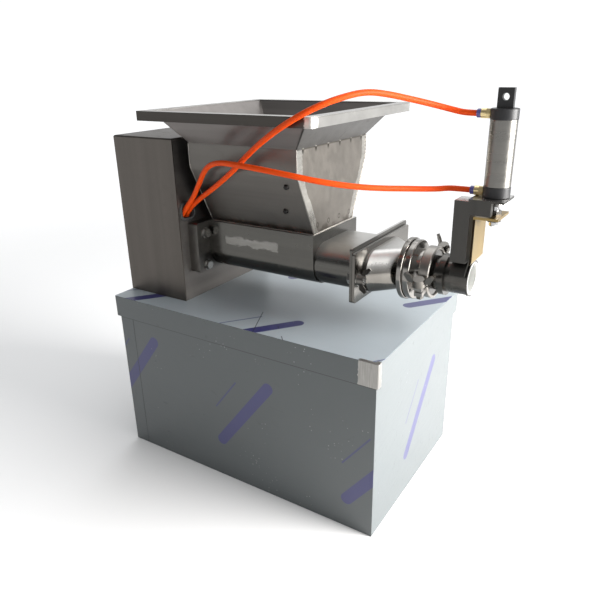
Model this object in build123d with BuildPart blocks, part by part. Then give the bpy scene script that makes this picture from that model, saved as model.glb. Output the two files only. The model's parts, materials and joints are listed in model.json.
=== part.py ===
"""Bench dough extruder and divider: twin screws under a hopper, and an air-driven knife at the outlet."""
import os
from math import acos, cos, pi, radians, sin, tan

from build123d import *

os.makedirs("parts", exist_ok=True)

# The frame: millimetres, +Z up, +X from the drive housing towards the outlet,
# origin on the floor under the middle of the base cabinet.

# Base cabinet of folded sheet on an angle-iron frame
base_length = 510.0
base_depth = 320.0
base_height = 300.0
sheet = 1.5
lid_skirt = 38.0
lid_overhang = 3.0
lid_edge_radius = 2.0
corner_return = 30.0
panel_seam = 0.4
frame_leg = 40.0
frame_wall = 3.0
bottom_thickness = 3.0
louvre_length = 90.0
louvre_height = 5.0
louvre_pitch = 14.0
louvre_count = 6
screw_head_radius = 4.0
screw_head_height = 2.4
panel_screw_inset = 6.0
panel_screw_rows = 3

# Upright drive housing
housing_length = 131.0
housing_height = 272.0
housing_sheet = 2.0
housing_edge_radius = 3.0
bulkhead_thickness = 4.0

# Screws, their gears and shafts
axis_above_lid = 85.0
gear_module = 3.0
gear_teeth = 24
gear_width = 14.0
gear_backlash = 0.3
pressure_angle = 20.0
gear_wall_gap = 2.0
shaft_radius = 12.5
screw_radius = 30.0
screw_pitch = 50.0
flight_thickness = 4.0
flight_root_bite = 2.0
screw_end_gap = 4.0
running_clearance = 0.05
free_clearance = 0.5

# Bearing block between the housing and the trough
block_thickness = 20.0
block_half_width = 100.0
block_drop = 37.0
bearing_radius = 23.5
bearing_width = 12.0
seal_radius = 19.0
block_bolt_reach = 81.0
block_bolt_low = -26.0
block_bolt_high = 30.0
bolt_hex = 13.0
bolt_head_height = 5.5
washer_radius = 9.0
washer_thickness = 1.6

# Trough, nozzle and outlet
trough_wall = 2.0
screw_running_gap = 1.0
main_extra = 2.0
main_length = 207.0
trough_top = 49.0
front_length = 76.0
seat_plate = 2.0
flange_thickness = 4.0
flange_half_width = 96.5
flange_drop = 35.0
rear_flange_rise = 48.0
front_flange_rise = 41.0
flange_corner = 4.0
gasket_thickness = 0.5
gasket_margin = 8.0
flange_bolt_reach = 86.0
flange_bolt_radius = 5.0
cone_stub = 4.0
cone_length = 37.5
pipe_radius = 32.0
pipe_wall = 2.0
ring_radius = 47.5
ring_width = 8.0
ring_gap = 1.0
ring_groove_radius = 43.0
front_ring_radius = 45.5
front_ring_width = 10.0
neck_radius = 32.5
neck_length = 13.5
outlet_bore = 24.0
ferrule_radius = 35.0
ferrule_width = 6.0
clamp_radius = 39.0
clamp_width = 16.0
clamp_split = 2.0
clamp_lug_reach = 56.0
clamp_lug_width = 12.0
clamp_lug_thickness = 7.0
clamp_bolt_radius = 3.0
clamp_bolt_hex = 10.0
clamp_bolt_place = 49.5
clamp_angle = 196.0
clamp_wing_share = 1.2
clamp_far_turn = 132.0
outlet_radius = 25.5
outlet_length = 61.5
outlet_step_gap = 9.0
outlet_step_radius = 31.0
outlet_step_width = 9.0
mouth_rim_radius = 26.8
mouth_rim_width = 3.0
sleeve_wall = 2.5
wing_hub_radius = 8.0
wing_hub_height = 9.0
wing_span = 19.0
wing_height = 16.0
wing_thickness = 3.0

# Hopper
hopper_length = 200.0
hopper_rear_gap = 3.0
hopper_sheet = 1.5
hopper_foot_half = 62.0
hopper_waist_half = 107.0
hopper_taper_height = 96.0
hopper_side_height = 132.0
hopper_bend_radius = 30.0
funnel_height = 47.5
funnel_end_flare = 41.0
funnel_side_flare = 35.0
rim_height = 14.0
rim_flange = 15.0
rim_corner = 4.0
waist_corner = 2.0
hopper_bolt_low_inset = 39.0
hopper_bolt_low = 36.0
hopper_bolt_high_inset = 24.0
hopper_bolt_high = 77.0
hopper_bolt_radius = 4.5
hopper_bolt_head = 3.0

# Air cylinder, its bracket and the knife
mouth_gap = 0.5
knife_thickness = 3.0
knife_half_width = 27.0
knife_edge_above_mouth = 0.3
knife_bevel_height = 4.0
knife_edge_land = 0.6
knife_flange_length = 33.0
knife_flange_thickness = 3.5
knife_height = 66.0
knife_stroke = 58.0
cylinder_offset = 20.7
cap_radius = 18.0
cap_height = 15.0
top_cap_height = 14.0
barrel_radius = 17.6
piston_slack = 11.5
cylinder_bore = 16.0
piston_height = 16.0
rod_radius = 6.0
nose_radius = 12.0
nose_length = 11.0
nose_nut_hex = 32.0
nose_nut_height = 7.0
rod_nut_hex = 17.0
rod_nut_height = 6.0
rod_tail = 6.5
rod_gap = 7.0
tang_width = 20.5
tang_height = 25.0
tang_thickness = 8.0
tang_hole_radius = 4.5
tang_hole_rise = 14.0
bracket_thickness = 10.0
bracket_leg_width = 22.0
bracket_leg_depth = 31.0
bracket_leg_gap = 4.0
bracket_arm_height = 18.5
bracket_arm_overhang = 3.0
bracket_plate_overhang = 1.0
bracket_plate_lap = 3.0
bracket_saddle_rise = 10.0
bracket_fillet = 6.0
bracket_plate_thickness = 3.0
bracket_saddle_radius = 32.0
bracket_saddle_join = 2.0
bracket_near_face = 31.0
fitting_radius = 6.5
fitting_length = 11.5
fitting_hex = 12.0
fitting_hex_length = 5.0
fitting_thread_radius = 5.0
fitting_thread_depth = 7.0
fitting_collar_radius = 5.8
fitting_collar_length = 6.0

# Air hoses and what feeds them
hose_radius = 4.0
hose_bore = 2.5
hose_exit_inset = 22.0
hose_exit_above_axis = 69.0
hose_exit_width = 32.0
hose_exit_height = 28.0
grommet_wall = 2.5
grommet_lip = 2.0
valve_gap = 2.0
valve_depth = 24.0
valve_width = 30.0
valve_height = 44.0
valve_drop = 48.0
valve_port_pitch = 14.0
valve_port_hex = 12.0
valve_port_reach = 8.0
coil_width = 20.0
coil_height = 24.0
inlet_radius = 6.0
inlet_hex = 19.0
inlet_reach = 14.0

# Drive: motor in the base, belt up to a worm reducer in the housing
drive_x = -186.0
pulley_start = 82.0
pulley_width = 20.0
motor_pulley_radius = 22.5
reducer_pulley_radius = 45.0
belt_width = 12.0
belt_thickness = 7.0
belt_bed_gap = 0.3
worm_above_axis = 50.0
worm_shaft_radius = 8.0
motor_radius = 58.0
motor_length = 165.0
motor_axis_height = 74.0
motor_shaft_radius = 8.0
motor_foot_width = 120.0
motor_foot_thickness = 10.0
motor_nose_gap = 14.0
case_length = 78.0
case_half_width = 45.0
case_shoulder = 30.0
case_edge_radius = 8.0
case_foot_width = 120.0
case_foot_thickness = 8.0

# Controls on the outer end of the housing
panel_width = 170.0
panel_height = 70.0
panel_thickness = 2.0
panel_rise = 205.0
control_margin = 22.0
button_radius = 9.0
button_proud = 6.0
button_travel = 3.0
button_depth = 8.0
button_clearance = 0.3
bezel_width = 3.0
bezel_height = 3.5
knob_radius = 12.0
knob_height = 14.0
knob_spindle_radius = 3.0
switch_grip_width = 7.0
switch_grip_inset = 1.0
unit_depth = 24.0
unit_width = 150.0
unit_height = 60.0
gland_radius = 11.0
gland_reach = 14.0
gland_bore = 5.0

# Worked-out places
axis_z = base_height + axis_above_lid
screw_spacing = gear_module * gear_teeth
screw_y = screw_spacing / 2
hose_exit_y = -(screw_y + case_half_width + valve_gap + valve_width / 2)
housing_depth = 2 * (hose_exit_inset - hose_exit_y)
panel_x = base_length / 2 - sheet
panel_y = base_depth / 2 - sheet
inside_x = panel_x - sheet
inside_y = panel_y - sheet
panel_top = base_height - sheet
lid_length = base_length + 2 * lid_overhang
lid_depth = base_depth + 2 * lid_overhang
housing_left = -lid_length / 2
housing_right = housing_left + housing_length
housing_mid = (housing_left + housing_right) / 2
bulkhead_inner = housing_right - bulkhead_thickness
block_front = housing_right + block_thickness
main_end = block_front + main_length
front_end = main_end + front_length
rear_flange_front = front_end + flange_thickness
nozzle_back = rear_flange_front + gasket_thickness
nozzle_front = nozzle_back + flange_thickness
cone_end = nozzle_front + cone_stub + cone_length
ring_front = cone_end + ring_width
neck_back = ring_front + ring_gap
neck_start = neck_back + front_ring_width
ferrule_joint = neck_start + neck_length + ferrule_width
mouth_x = ferrule_joint + outlet_length
hose_exit_z = axis_z + hose_exit_above_axis
tube_inner = screw_radius + screw_running_gap
tube_outer = tube_inner + trough_wall
main_inner = tube_inner + main_extra
main_outer = main_inner + trough_wall
seat_z = axis_z + trough_top
hopper_rear = block_front + hopper_rear_gap
hopper_front = hopper_rear + hopper_length
hopper_mid = (hopper_rear + hopper_front) / 2
waist_z = seat_z + hopper_side_height
rim_seat = waist_z + funnel_height
rim_top = rim_seat + hopper_sheet
funnel_length = hopper_length + 2 * funnel_end_flare
funnel_half = hopper_waist_half + funnel_side_flare
rim_length = funnel_length + 2 * rim_flange
rim_half = funnel_half + rim_flange
knife_back = mouth_x + mouth_gap
knife_front = knife_back + knife_thickness
cylinder_x = mouth_x + cylinder_offset
knife_low = axis_z + mouth_rim_radius + knife_edge_above_mouth
knife_flange_low = knife_low + knife_height
knife_flange_top = knife_flange_low + knife_flange_thickness
cylinder_foot = knife_flange_top + rod_nut_height + rod_gap + nose_length
barrel_foot = cylinder_foot + cap_height
barrel_length = knife_stroke + piston_height + piston_slack
barrel_top = barrel_foot + barrel_length
cylinder_top = barrel_top + top_cap_height
arm_top = cylinder_foot - bracket_plate_thickness
leg_right = mouth_x - bracket_leg_gap
leg_left = leg_right - bracket_leg_width


def across(x, y=0.0, z=axis_z):
    """Plane square to the screws: its own x runs along +Y and its own y along +Z."""
    return Plane(origin=(x, y, z), x_dir=(0, 1, 0), z_dir=(1, 0, 0))


def level(z, x=0.0, y=0.0):
    """Horizontal plane at height z, centred on x and y."""
    return Plane(origin=(x, y, z))


def sideways(y, x=0.0, z=0.0):
    """Upright plane facing the front: its own x runs along +X and its own y along +Z."""
    return Plane(origin=(x, y, z), x_dir=(1, 0, 0), z_dir=(0, -1, 0))


def keep(piece, name):
    """Labels a finished piece and writes it to its own file."""
    piece.part.label = name
    export_step(piece.part, f"parts/{name}.step")


def hexagon(flats):
    """Adds a regular hexagon of the given width across flats to the sketch at hand."""
    RegularPolygon(flats / 2, 6, major_radius=False)


# Base frame: angle-iron posts, sills and top rails, with the bottom plate welded in
with BuildPart() as base_frame:
    for side_x in (-1, 1):
        for side_y in (-1, 1):
            with BuildSketch():
                with Locations((side_x * (inside_x - frame_leg / 2), side_y * (inside_y - frame_wall / 2))):
                    Rectangle(frame_leg, frame_wall)
                with Locations((side_x * (inside_x - frame_wall / 2), side_y * (inside_y - frame_leg / 2))):
                    Rectangle(frame_wall, frame_leg)
            extrude(amount=panel_top)
    with BuildSketch():
        Rectangle(2 * inside_x, 2 * inside_y)
        Rectangle(2 * (inside_x - frame_wall), 2 * (inside_y - frame_wall), mode=Mode.SUBTRACT)
    extrude(amount=frame_leg)
    with BuildSketch():
        Rectangle(2 * inside_x, 2 * inside_y)
    extrude(amount=bottom_thickness)
    for side_y in (-1, 1):
        with BuildSketch(level(panel_top)):
            with Locations((0, side_y * (inside_y - frame_leg / 2))):
                Rectangle(2 * inside_x, frame_leg)
        extrude(amount=-frame_wall)
        with BuildSketch(level(panel_top)):
            with Locations((0, side_y * (inside_y - frame_wall / 2))):
                Rectangle(2 * inside_x, frame_wall)
        extrude(amount=-frame_leg)
keep(base_frame, "base_frame")

# Left panel, folded round both corners
with BuildPart() as left_panel:
    with BuildSketch():
        with Locations((-panel_x + sheet / 2, 0)):
            Rectangle(sheet, 2 * panel_y)
        for side_y in (-1, 1):
            with Locations((-panel_x + corner_return / 2, side_y * (panel_y - sheet / 2))):
                Rectangle(corner_return, sheet)
    extrude(amount=panel_top)
keep(left_panel, "left_panel")

# Front and back panels run from the left panel's folds to the right panel
long_panel_start = -panel_x + corner_return + panel_seam
long_panel_end = panel_x - sheet
long_panel_mid = (long_panel_start + long_panel_end) / 2
long_panel_length = long_panel_end - long_panel_start
with BuildPart() as front_panel:
    with BuildSketch(sideways(-panel_y + sheet, long_panel_mid, panel_top / 2)):
        Rectangle(long_panel_length, panel_top)
    extrude(amount=sheet)
keep(front_panel, "front_panel")

with BuildPart() as right_panel:
    with BuildSketch(level(0, panel_x - sheet / 2)):
        Rectangle(sheet, 2 * panel_y)
    extrude(amount=panel_top)
keep(right_panel, "right_panel")

gland_x = long_panel_start + long_panel_length / 4
gland_z = frame_leg + 2 * gland_radius
screw_span_x = long_panel_length - 2 * panel_screw_inset
screw_low = frame_leg / 2
screw_high = base_height - lid_skirt - frame_leg / 2
screw_row_gap = (screw_high - screw_low) / (panel_screw_rows - 1)
with BuildPart() as back_panel:
    with BuildSketch(sideways(panel_y, long_panel_mid, panel_top / 2)):
        Rectangle(long_panel_length, panel_top)
        with GridLocations(2 * louvre_length, louvre_pitch, 2, louvre_count):
            SlotOverall(louvre_length, louvre_height, mode=Mode.SUBTRACT)
    extrude(amount=sheet)
    with BuildSketch(sideways(panel_y, gland_x, gland_z)):
        Circle(gland_radius - bezel_width)
    extrude(amount=sheet, mode=Mode.SUBTRACT)
keep(back_panel, "back_panel")

# Pan-head screws that hold the back panel
with BuildPart() as panel_screws:
    with BuildSketch(sideways(panel_y, long_panel_mid, (screw_low + screw_high) / 2)):
        with GridLocations(screw_span_x, screw_row_gap, 2, panel_screw_rows):
            Circle(screw_head_radius)
    extrude(amount=-screw_head_height)
    fillet(panel_screws.edges().group_by(Axis.Y)[-1], screw_head_height / 2)
keep(panel_screws, "panel_screws")

# Gland for the mains lead, in the back panel
with BuildPart() as cable_gland:
    with BuildSketch(sideways(panel_y, gland_x, gland_z)):
        hexagon(2 * gland_radius)
        Circle(gland_bore, mode=Mode.SUBTRACT)
    extrude(amount=-gland_reach / 2)
    with BuildSketch(sideways(panel_y + gland_reach / 2, gland_x, gland_z)):
        Circle(gland_radius - bezel_width)
        Circle(gland_bore, mode=Mode.SUBTRACT)
    extrude(amount=-gland_reach / 2)
    with BuildSketch(sideways(panel_y, gland_x, gland_z)):
        Circle(gland_radius - bezel_width)
        Circle(gland_bore, mode=Mode.SUBTRACT)
    extrude(amount=gland_reach)
keep(cable_gland, "cable_gland")

# Lid of the cabinet with its folded skirt and the slot for the belt
pulley_mid = pulley_start + pulley_width / 2
slot_length = 2 * (reducer_pulley_radius + belt_thickness)
with BuildPart() as base_lid:
    with BuildSketch(level(base_height)):
        Rectangle(lid_length, lid_depth)
    extrude(amount=-lid_skirt)
    fillet(base_lid.edges().filter_by(Axis.Z), lid_edge_radius)
    fillet(base_lid.faces().sort_by(Axis.Z)[-1].edges(), sheet * 0.6)
    with BuildSketch(level(panel_top)):
        Rectangle(lid_length - 2 * sheet, lid_depth - 2 * sheet)
    extrude(amount=-lid_skirt, mode=Mode.SUBTRACT)
    with BuildSketch(level(base_height, drive_x, pulley_mid)):
        Rectangle(slot_length, pulley_width + 2 * belt_thickness)
    extrude(amount=-sheet, mode=Mode.SUBTRACT)
keep(base_lid, "base_lid")

# Upright housing: a folded shell, closed towards the trough by a bulkhead set into it
bulkhead_height = housing_height - housing_sheet
bulkhead_half = housing_depth / 2 - housing_sheet
panel_z = base_height + panel_rise
control_pitch = (panel_width - 2 * control_margin) / 3
control_y = [control_pitch * (place - 1.5) for place in range(4)]
power_y, speed_y, start_y, stop_y = control_y
inlet_y = -bulkhead_half / 2
inlet_z = axis_z
with BuildPart() as housing_shell:
    with BuildSketch(level(base_height, housing_mid)):
        Rectangle(housing_length, housing_depth)
    extrude(amount=housing_height)
    fillet(housing_shell.faces().sort_by(Axis.Z)[-1].edges(), housing_edge_radius)
    with BuildSketch(level(base_height, housing_mid + housing_sheet / 2)):
        Rectangle(housing_length - housing_sheet, 2 * bulkhead_half)
    extrude(amount=bulkhead_height, mode=Mode.SUBTRACT)
    with BuildSketch(across(housing_left, 0, panel_z)):
        with Locations((start_y, 0), (stop_y, 0)):
            Circle(button_radius + button_clearance)
        with Locations((power_y, 0), (speed_y, 0)):
            Circle(knob_spindle_radius + button_clearance)
    extrude(amount=housing_sheet, mode=Mode.SUBTRACT)
    with BuildSketch(across(housing_left, inlet_y, inlet_z)):
        Circle(inlet_radius)
    extrude(amount=housing_sheet, mode=Mode.SUBTRACT)
keep(housing_shell, "housing_shell")

with BuildPart() as housing_bulkhead:
    with BuildSketch(across(bulkhead_inner, 0, base_height + bulkhead_height / 2)):
        Rectangle(2 * bulkhead_half, bulkhead_height)
    extrude(amount=bulkhead_thickness)
    with BuildSketch(across(bulkhead_inner)):
        with Locations((-screw_y, 0), (screw_y, 0)):
            Circle(shaft_radius + free_clearance)
    extrude(amount=bulkhead_thickness, mode=Mode.SUBTRACT)
    with BuildSketch(across(bulkhead_inner, hose_exit_y, hose_exit_z)):
        RectangleRounded(hose_exit_width, hose_exit_height, hose_exit_height / 3)
    extrude(amount=bulkhead_thickness, mode=Mode.SUBTRACT)
keep(housing_bulkhead, "housing_bulkhead")

# Rubber grommet in the opening where the air hoses leave the housing
clear_width = hose_exit_width - 2 * grommet_wall
clear_height = hose_exit_height - 2 * grommet_wall
with BuildPart() as hose_grommet:
    with BuildSketch(across(bulkhead_inner, hose_exit_y, hose_exit_z)):
        RectangleRounded(hose_exit_width, hose_exit_height, hose_exit_height / 3)
    extrude(amount=bulkhead_thickness)
    with BuildSketch(across(housing_right, hose_exit_y, hose_exit_z)):
        RectangleRounded(
            hose_exit_width + 2 * grommet_lip, hose_exit_height + 2 * grommet_lip, hose_exit_height / 3 + grommet_lip
        )
    extrude(amount=grommet_lip)
    fillet(hose_grommet.edges().group_by(Axis.X)[-1], grommet_lip / 2)
    with BuildSketch(across(bulkhead_inner, hose_exit_y, hose_exit_z)):
        RectangleRounded(clear_width, clear_height, clear_height / 3)
    extrude(amount=bulkhead_thickness + grommet_lip, mode=Mode.SUBTRACT)
keep(hose_grommet, "hose_grommet")

# Control plate on the outer end of the housing, with raised bezels
plate_face = housing_left - panel_thickness
with BuildPart() as control_plate:
    with BuildSketch(across(plate_face, 0, panel_z)):
        RectangleRounded(panel_width, panel_height, knob_radius / 2)
    extrude(amount=panel_thickness)
    with BuildSketch(across(plate_face, 0, panel_z)):
        with Locations((start_y, 0), (stop_y, 0)):
            Circle(button_radius + button_clearance + bezel_width)
    extrude(amount=-bezel_height)
    with BuildSketch(across(plate_face - bezel_height, 0, panel_z)):
        with Locations((start_y, 0), (stop_y, 0)):
            Circle(button_radius + button_clearance)
    extrude(amount=bezel_height + panel_thickness, mode=Mode.SUBTRACT)
    with BuildSketch(across(plate_face, 0, panel_z)):
        with Locations((power_y, 0), (speed_y, 0)):
            Circle(knob_spindle_radius + button_clearance)
    extrude(amount=panel_thickness, mode=Mode.SUBTRACT)
keep(control_plate, "control_plate")

# Electric control unit on the inner face of the housing's outer end, sockets for the controls in it
unit_face = housing_left + housing_sheet
with BuildPart() as control_unit:
    with BuildSketch(across(unit_face, 0, panel_z)):
        RectangleRounded(unit_width, unit_height, knob_radius / 4)
    extrude(amount=unit_depth)
    with BuildSketch(across(unit_face, 0, panel_z)):
        with Locations((start_y, 0), (stop_y, 0)):
            Circle(button_radius + button_clearance)
    extrude(amount=button_depth + button_travel, mode=Mode.SUBTRACT)
    with BuildSketch(across(unit_face, 0, panel_z)):
        with Locations((power_y, 0), (speed_y, 0)):
            Circle(knob_spindle_radius + running_clearance)
    extrude(amount=button_depth + button_clearance, mode=Mode.SUBTRACT)
keep(control_unit, "control_unit")


def push_button(y):
    """Makes a domed push button cap with its stem, at the given place along the control plate."""
    with BuildPart() as cap:
        with BuildSketch(across(plate_face - bezel_height - button_proud, y, panel_z)):
            Circle(button_radius)
        extrude(amount=button_proud + bezel_height + panel_thickness + housing_sheet + button_depth)
        fillet(cap.edges().group_by(Axis.X)[0], button_proud / 4)
    return cap


keep(push_button(start_y), "start_button")
keep(push_button(stop_y), "stop_button")

knob_face = plate_face - button_clearance
knob_spindle = knob_height + button_clearance + panel_thickness + housing_sheet + button_depth
with BuildPart() as speed_knob:
    with BuildSketch(across(knob_face, speed_y, panel_z)):
        Circle(knob_radius)
    extrude(amount=-knob_height, taper=4)
    fillet(speed_knob.edges().group_by(Axis.X)[0], knob_height / 10)
    with BuildSketch(across(knob_face - knob_height, speed_y, panel_z)):
        with Locations((0, knob_radius * 0.6)):
            Circle(knob_radius / 10)
    extrude(amount=knob_height / 12, mode=Mode.SUBTRACT)
    with BuildSketch(across(knob_face - knob_height / 2, speed_y, panel_z)):
        Circle(knob_spindle_radius)
    extrude(amount=knob_spindle - knob_height / 2)
keep(speed_knob, "speed_knob")

with BuildPart() as power_switch:
    with BuildSketch(across(knob_face, power_y, panel_z)):
        Circle(knob_radius)
    extrude(amount=-knob_height / 2)
    with BuildSketch(across(knob_face - knob_height / 2, power_y, panel_z)):
        SlotOverall(2 * (knob_radius - switch_grip_inset), switch_grip_width, rotation=90)
    extrude(amount=-knob_height / 2)
    fillet(power_switch.edges().group_by(Axis.X)[0], switch_grip_width / 10)
    with BuildSketch(across(knob_face - knob_height / 2, power_y, panel_z)):
        Circle(knob_spindle_radius)
    extrude(amount=knob_spindle - knob_height / 2)
keep(power_switch, "power_switch")

# Bearing block: carries both screws and closes the rear of the trough
block_height = block_drop + trough_top
block_mid_z = axis_z + (trough_top - block_drop) / 2
with BuildPart() as bearing_block:
    with BuildSketch(across(housing_right, 0, block_mid_z)):
        Rectangle(2 * block_half_width, block_height)
    extrude(amount=block_thickness)
    fillet(bearing_block.edges().filter_by(Axis.X), flange_corner)
    with BuildSketch(across(housing_right)):
        with Locations((-screw_y, 0), (screw_y, 0)):
            Circle(bearing_radius)
    extrude(amount=bearing_width, mode=Mode.SUBTRACT)
    with BuildSketch(across(housing_right + bearing_width)):
        with Locations((-screw_y, 0), (screw_y, 0)):
            Circle(seal_radius)
    extrude(amount=block_thickness - bearing_width, mode=Mode.SUBTRACT)
keep(bearing_block, "bearing_block")


def shaft_rings(start, width, radius):
    """Makes one ring round each screw shaft, from start along +X, a running fit on the shaft."""
    with BuildPart() as rings:
        with BuildSketch(across(start)):
            with Locations((-screw_y, 0), (screw_y, 0)):
                Circle(radius)
                Circle(shaft_radius + running_clearance, mode=Mode.SUBTRACT)
        extrude(amount=width)
    return rings


keep(shaft_rings(housing_right, bearing_width, bearing_radius), "screw_bearings")
keep(shaft_rings(housing_right + bearing_width, block_thickness - bearing_width, seal_radius), "shaft_seals")

# Hexagon bolts and washers that hold the bearing block to the bulkhead
with BuildPart() as block_bolts:
    for bolt_z in (block_bolt_low, block_bolt_high):
        for side_y in (-1, 1):
            with BuildSketch(across(block_front, side_y * block_bolt_reach, axis_z + bolt_z)):
                Circle(washer_radius)
            extrude(amount=washer_thickness)
            with BuildSketch(across(block_front + washer_thickness, side_y * block_bolt_reach, axis_z + bolt_z)):
                hexagon(bolt_hex)
            extrude(amount=bolt_head_height)
keep(block_bolts, "block_bolts")

# Trough: open U under the hopper, then a closed tube of two joined rounds, with its flange
hopper_mouth_length = hopper_length - 2 * hopper_sheet
with BuildPart() as trough:
    with BuildSketch(across(block_front)):
        SlotCenterToCenter(screw_spacing, 2 * main_outer)
        with Locations((0, trough_top / 2)):
            Rectangle(screw_spacing + 2 * main_outer, trough_top)
    extrude(amount=main_length)
    with BuildSketch(across(block_front)):
        SlotCenterToCenter(screw_spacing, 2 * main_inner)
        with Locations((0, (trough_top - seat_plate) / 2)):
            Rectangle(screw_spacing + 2 * main_inner, trough_top - seat_plate)
    extrude(amount=main_length - trough_wall, mode=Mode.SUBTRACT)
    with BuildSketch(level(seat_z, hopper_mid)):
        Rectangle(hopper_mouth_length, 2 * (hopper_foot_half - hopper_sheet))
    extrude(amount=-seat_plate, mode=Mode.SUBTRACT)
    with BuildSketch(across(main_end)):
        SlotCenterToCenter(screw_spacing, 2 * tube_outer)
    extrude(amount=front_length)
    with BuildSketch(across(front_end, 0, axis_z + (rear_flange_rise - flange_drop) / 2)):
        RectangleRounded(2 * flange_half_width, rear_flange_rise + flange_drop, flange_corner)
    extrude(amount=flange_thickness)
    with BuildSketch(across(main_end - trough_wall)):
        SlotCenterToCenter(screw_spacing, 2 * tube_inner)
    extrude(amount=trough_wall + front_length + flange_thickness, mode=Mode.SUBTRACT)
    with BuildSketch(across(front_end)):
        with Locations((-flange_bolt_reach, 0), (flange_bolt_reach, 0)):
            Circle(flange_bolt_radius)
    extrude(amount=flange_thickness, mode=Mode.SUBTRACT)
keep(trough, "trough")

# Gasket between the two flanges
with BuildPart() as flange_gasket:
    with BuildSketch(across(rear_flange_front)):
        SlotCenterToCenter(screw_spacing, 2 * tube_inner + gasket_margin)
        SlotCenterToCenter(screw_spacing, 2 * tube_inner, mode=Mode.SUBTRACT)
    extrude(amount=gasket_thickness)
keep(flange_gasket, "flange_gasket")

# Nozzle cone: its flange, and the funnel from the oblong tube to the round pipe
round_flat = 0.5
with BuildPart() as nozzle_cone:
    with BuildSketch(across(nozzle_back, 0, axis_z + (front_flange_rise - flange_drop) / 2)):
        RectangleRounded(2 * flange_half_width, front_flange_rise + flange_drop, flange_corner)
    extrude(amount=flange_thickness)
    with BuildSketch(across(nozzle_front)):
        SlotCenterToCenter(screw_spacing, 2 * tube_outer)
    extrude(amount=cone_stub)
    with BuildSketch(across(nozzle_front + cone_stub)):
        SlotCenterToCenter(screw_spacing, 2 * tube_outer)
    with BuildSketch(across(cone_end)):
        SlotCenterToCenter(round_flat, 2 * pipe_radius)
    loft()
    with BuildSketch(across(nozzle_back)):
        SlotCenterToCenter(screw_spacing, 2 * tube_inner)
    extrude(amount=flange_thickness + cone_stub, mode=Mode.SUBTRACT)
    with BuildSketch(across(nozzle_front + cone_stub)):
        SlotCenterToCenter(screw_spacing, 2 * tube_inner)
    with BuildSketch(across(cone_end)):
        SlotCenterToCenter(round_flat, 2 * (pipe_radius - pipe_wall))
    loft(mode=Mode.SUBTRACT)
    with BuildSketch(across(nozzle_back)):
        with Locations((-flange_bolt_reach, 0), (flange_bolt_reach, 0)):
            Circle(flange_bolt_radius)
    extrude(amount=flange_thickness, mode=Mode.SUBTRACT)
keep(nozzle_cone, "nozzle_cone")

# Bolts of the flange joint, heads behind the trough's flange
stud_reach = 2 * flange_thickness + gasket_thickness + washer_thickness + wing_hub_height
with BuildPart() as flange_bolts:
    for side_y in (-1, 1):
        with BuildSketch(across(front_end, side_y * flange_bolt_reach)):
            hexagon(bolt_hex + flange_bolt_radius / 2)
        extrude(amount=-bolt_head_height)
        with BuildSketch(across(front_end, side_y * flange_bolt_reach)):
            Circle(flange_bolt_radius)
        extrude(amount=stud_reach)
        with BuildSketch(across(nozzle_front, side_y * flange_bolt_reach)):
            Circle(washer_radius)
        extrude(amount=washer_thickness)
keep(flange_bolts, "flange_bolts")

# Clamp joint at the neck: its own plane, with own x towards the clamp's near bolt
clamp_out = (0, cos(radians(clamp_angle)), sin(radians(clamp_angle)))
clamp_back = ferrule_joint - clamp_width / 2


def clamp_plane(x):
    """Plane square to the outlet at x, turned so that its own x points at the clamp's near bolt."""
    return Plane(origin=(x, 0, axis_z), x_dir=clamp_out, z_dir=(1, 0, 0))


clamp_middle = clamp_plane(ferrule_joint)
clamp_side = Vector(*clamp_middle.y_dir)
nut_side = -clamp_side
nut_across = nut_side.cross(Vector(1, 0, 0))
clamp_bolt_centres = [clamp_middle.from_local_coords((end * clamp_bolt_place, 0, 0)) for end in (1, -1)]
nut_rise = clamp_split / 2 + clamp_lug_thickness
nut_seat = nozzle_front + washer_thickness


def wing_nut(plane, bore, share=1.0):
    """Makes a wing nut that sits on the plane and runs up along its normal, wings along its own x."""
    upright = Plane(origin=plane.origin, x_dir=plane.x_dir, z_dir=-plane.y_dir)
    hub_radius = share * wing_hub_radius
    hub_height = share * wing_hub_height
    span = share * wing_span
    height = share * wing_height
    with BuildPart() as nut:
        for side in (-1, 1):
            with BuildSketch(upright):
                with BuildLine():
                    Polyline(
                        (0, hub_height / 6),
                        (side * span * 0.75, hub_height / 2),
                        (side * span, height * 0.85),
                        (side * span * 0.85, height),
                        (side * span * 0.6, height * 0.85),
                        (side * hub_radius * 0.8, hub_height * 0.8),
                        (0, hub_height * 0.8),
                        close=True,
                    )
                make_face()
            extrude(amount=share * wing_thickness / 2, both=True)
        with BuildSketch(plane):
            Circle(hub_radius)
        extrude(amount=hub_height, taper=8)
        with BuildSketch(plane):
            Circle(bore)
        extrude(amount=hub_height, mode=Mode.SUBTRACT)
    return nut.part


near_nut = wing_nut(
    Plane(origin=(nut_seat, -flange_bolt_reach, axis_z), x_dir=(0, 0.5, 1), z_dir=(1, 0, 0)), flange_bolt_radius
)
far_nut = wing_nut(
    Plane(origin=(nut_seat, flange_bolt_reach, axis_z), x_dir=(0, -0.7, 1), z_dir=(1, 0, 0)), flange_bolt_radius
)
clamp_nuts = [
    wing_nut(
        Plane(
            origin=centre + nut_side * nut_rise,
            x_dir=Vector(1, 0, 0) * cos(radians(turn)) + nut_across * sin(radians(turn)),
            z_dir=nut_side,
        ),
        clamp_bolt_radius,
        clamp_wing_share,
    )
    for centre, turn in zip(clamp_bolt_centres, (0, clamp_far_turn))
]
with BuildPart() as wing_nuts:
    add(near_nut)
    add(far_nut)
    add(clamp_nuts)
keep(wing_nuts, "wing_nuts")

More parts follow.
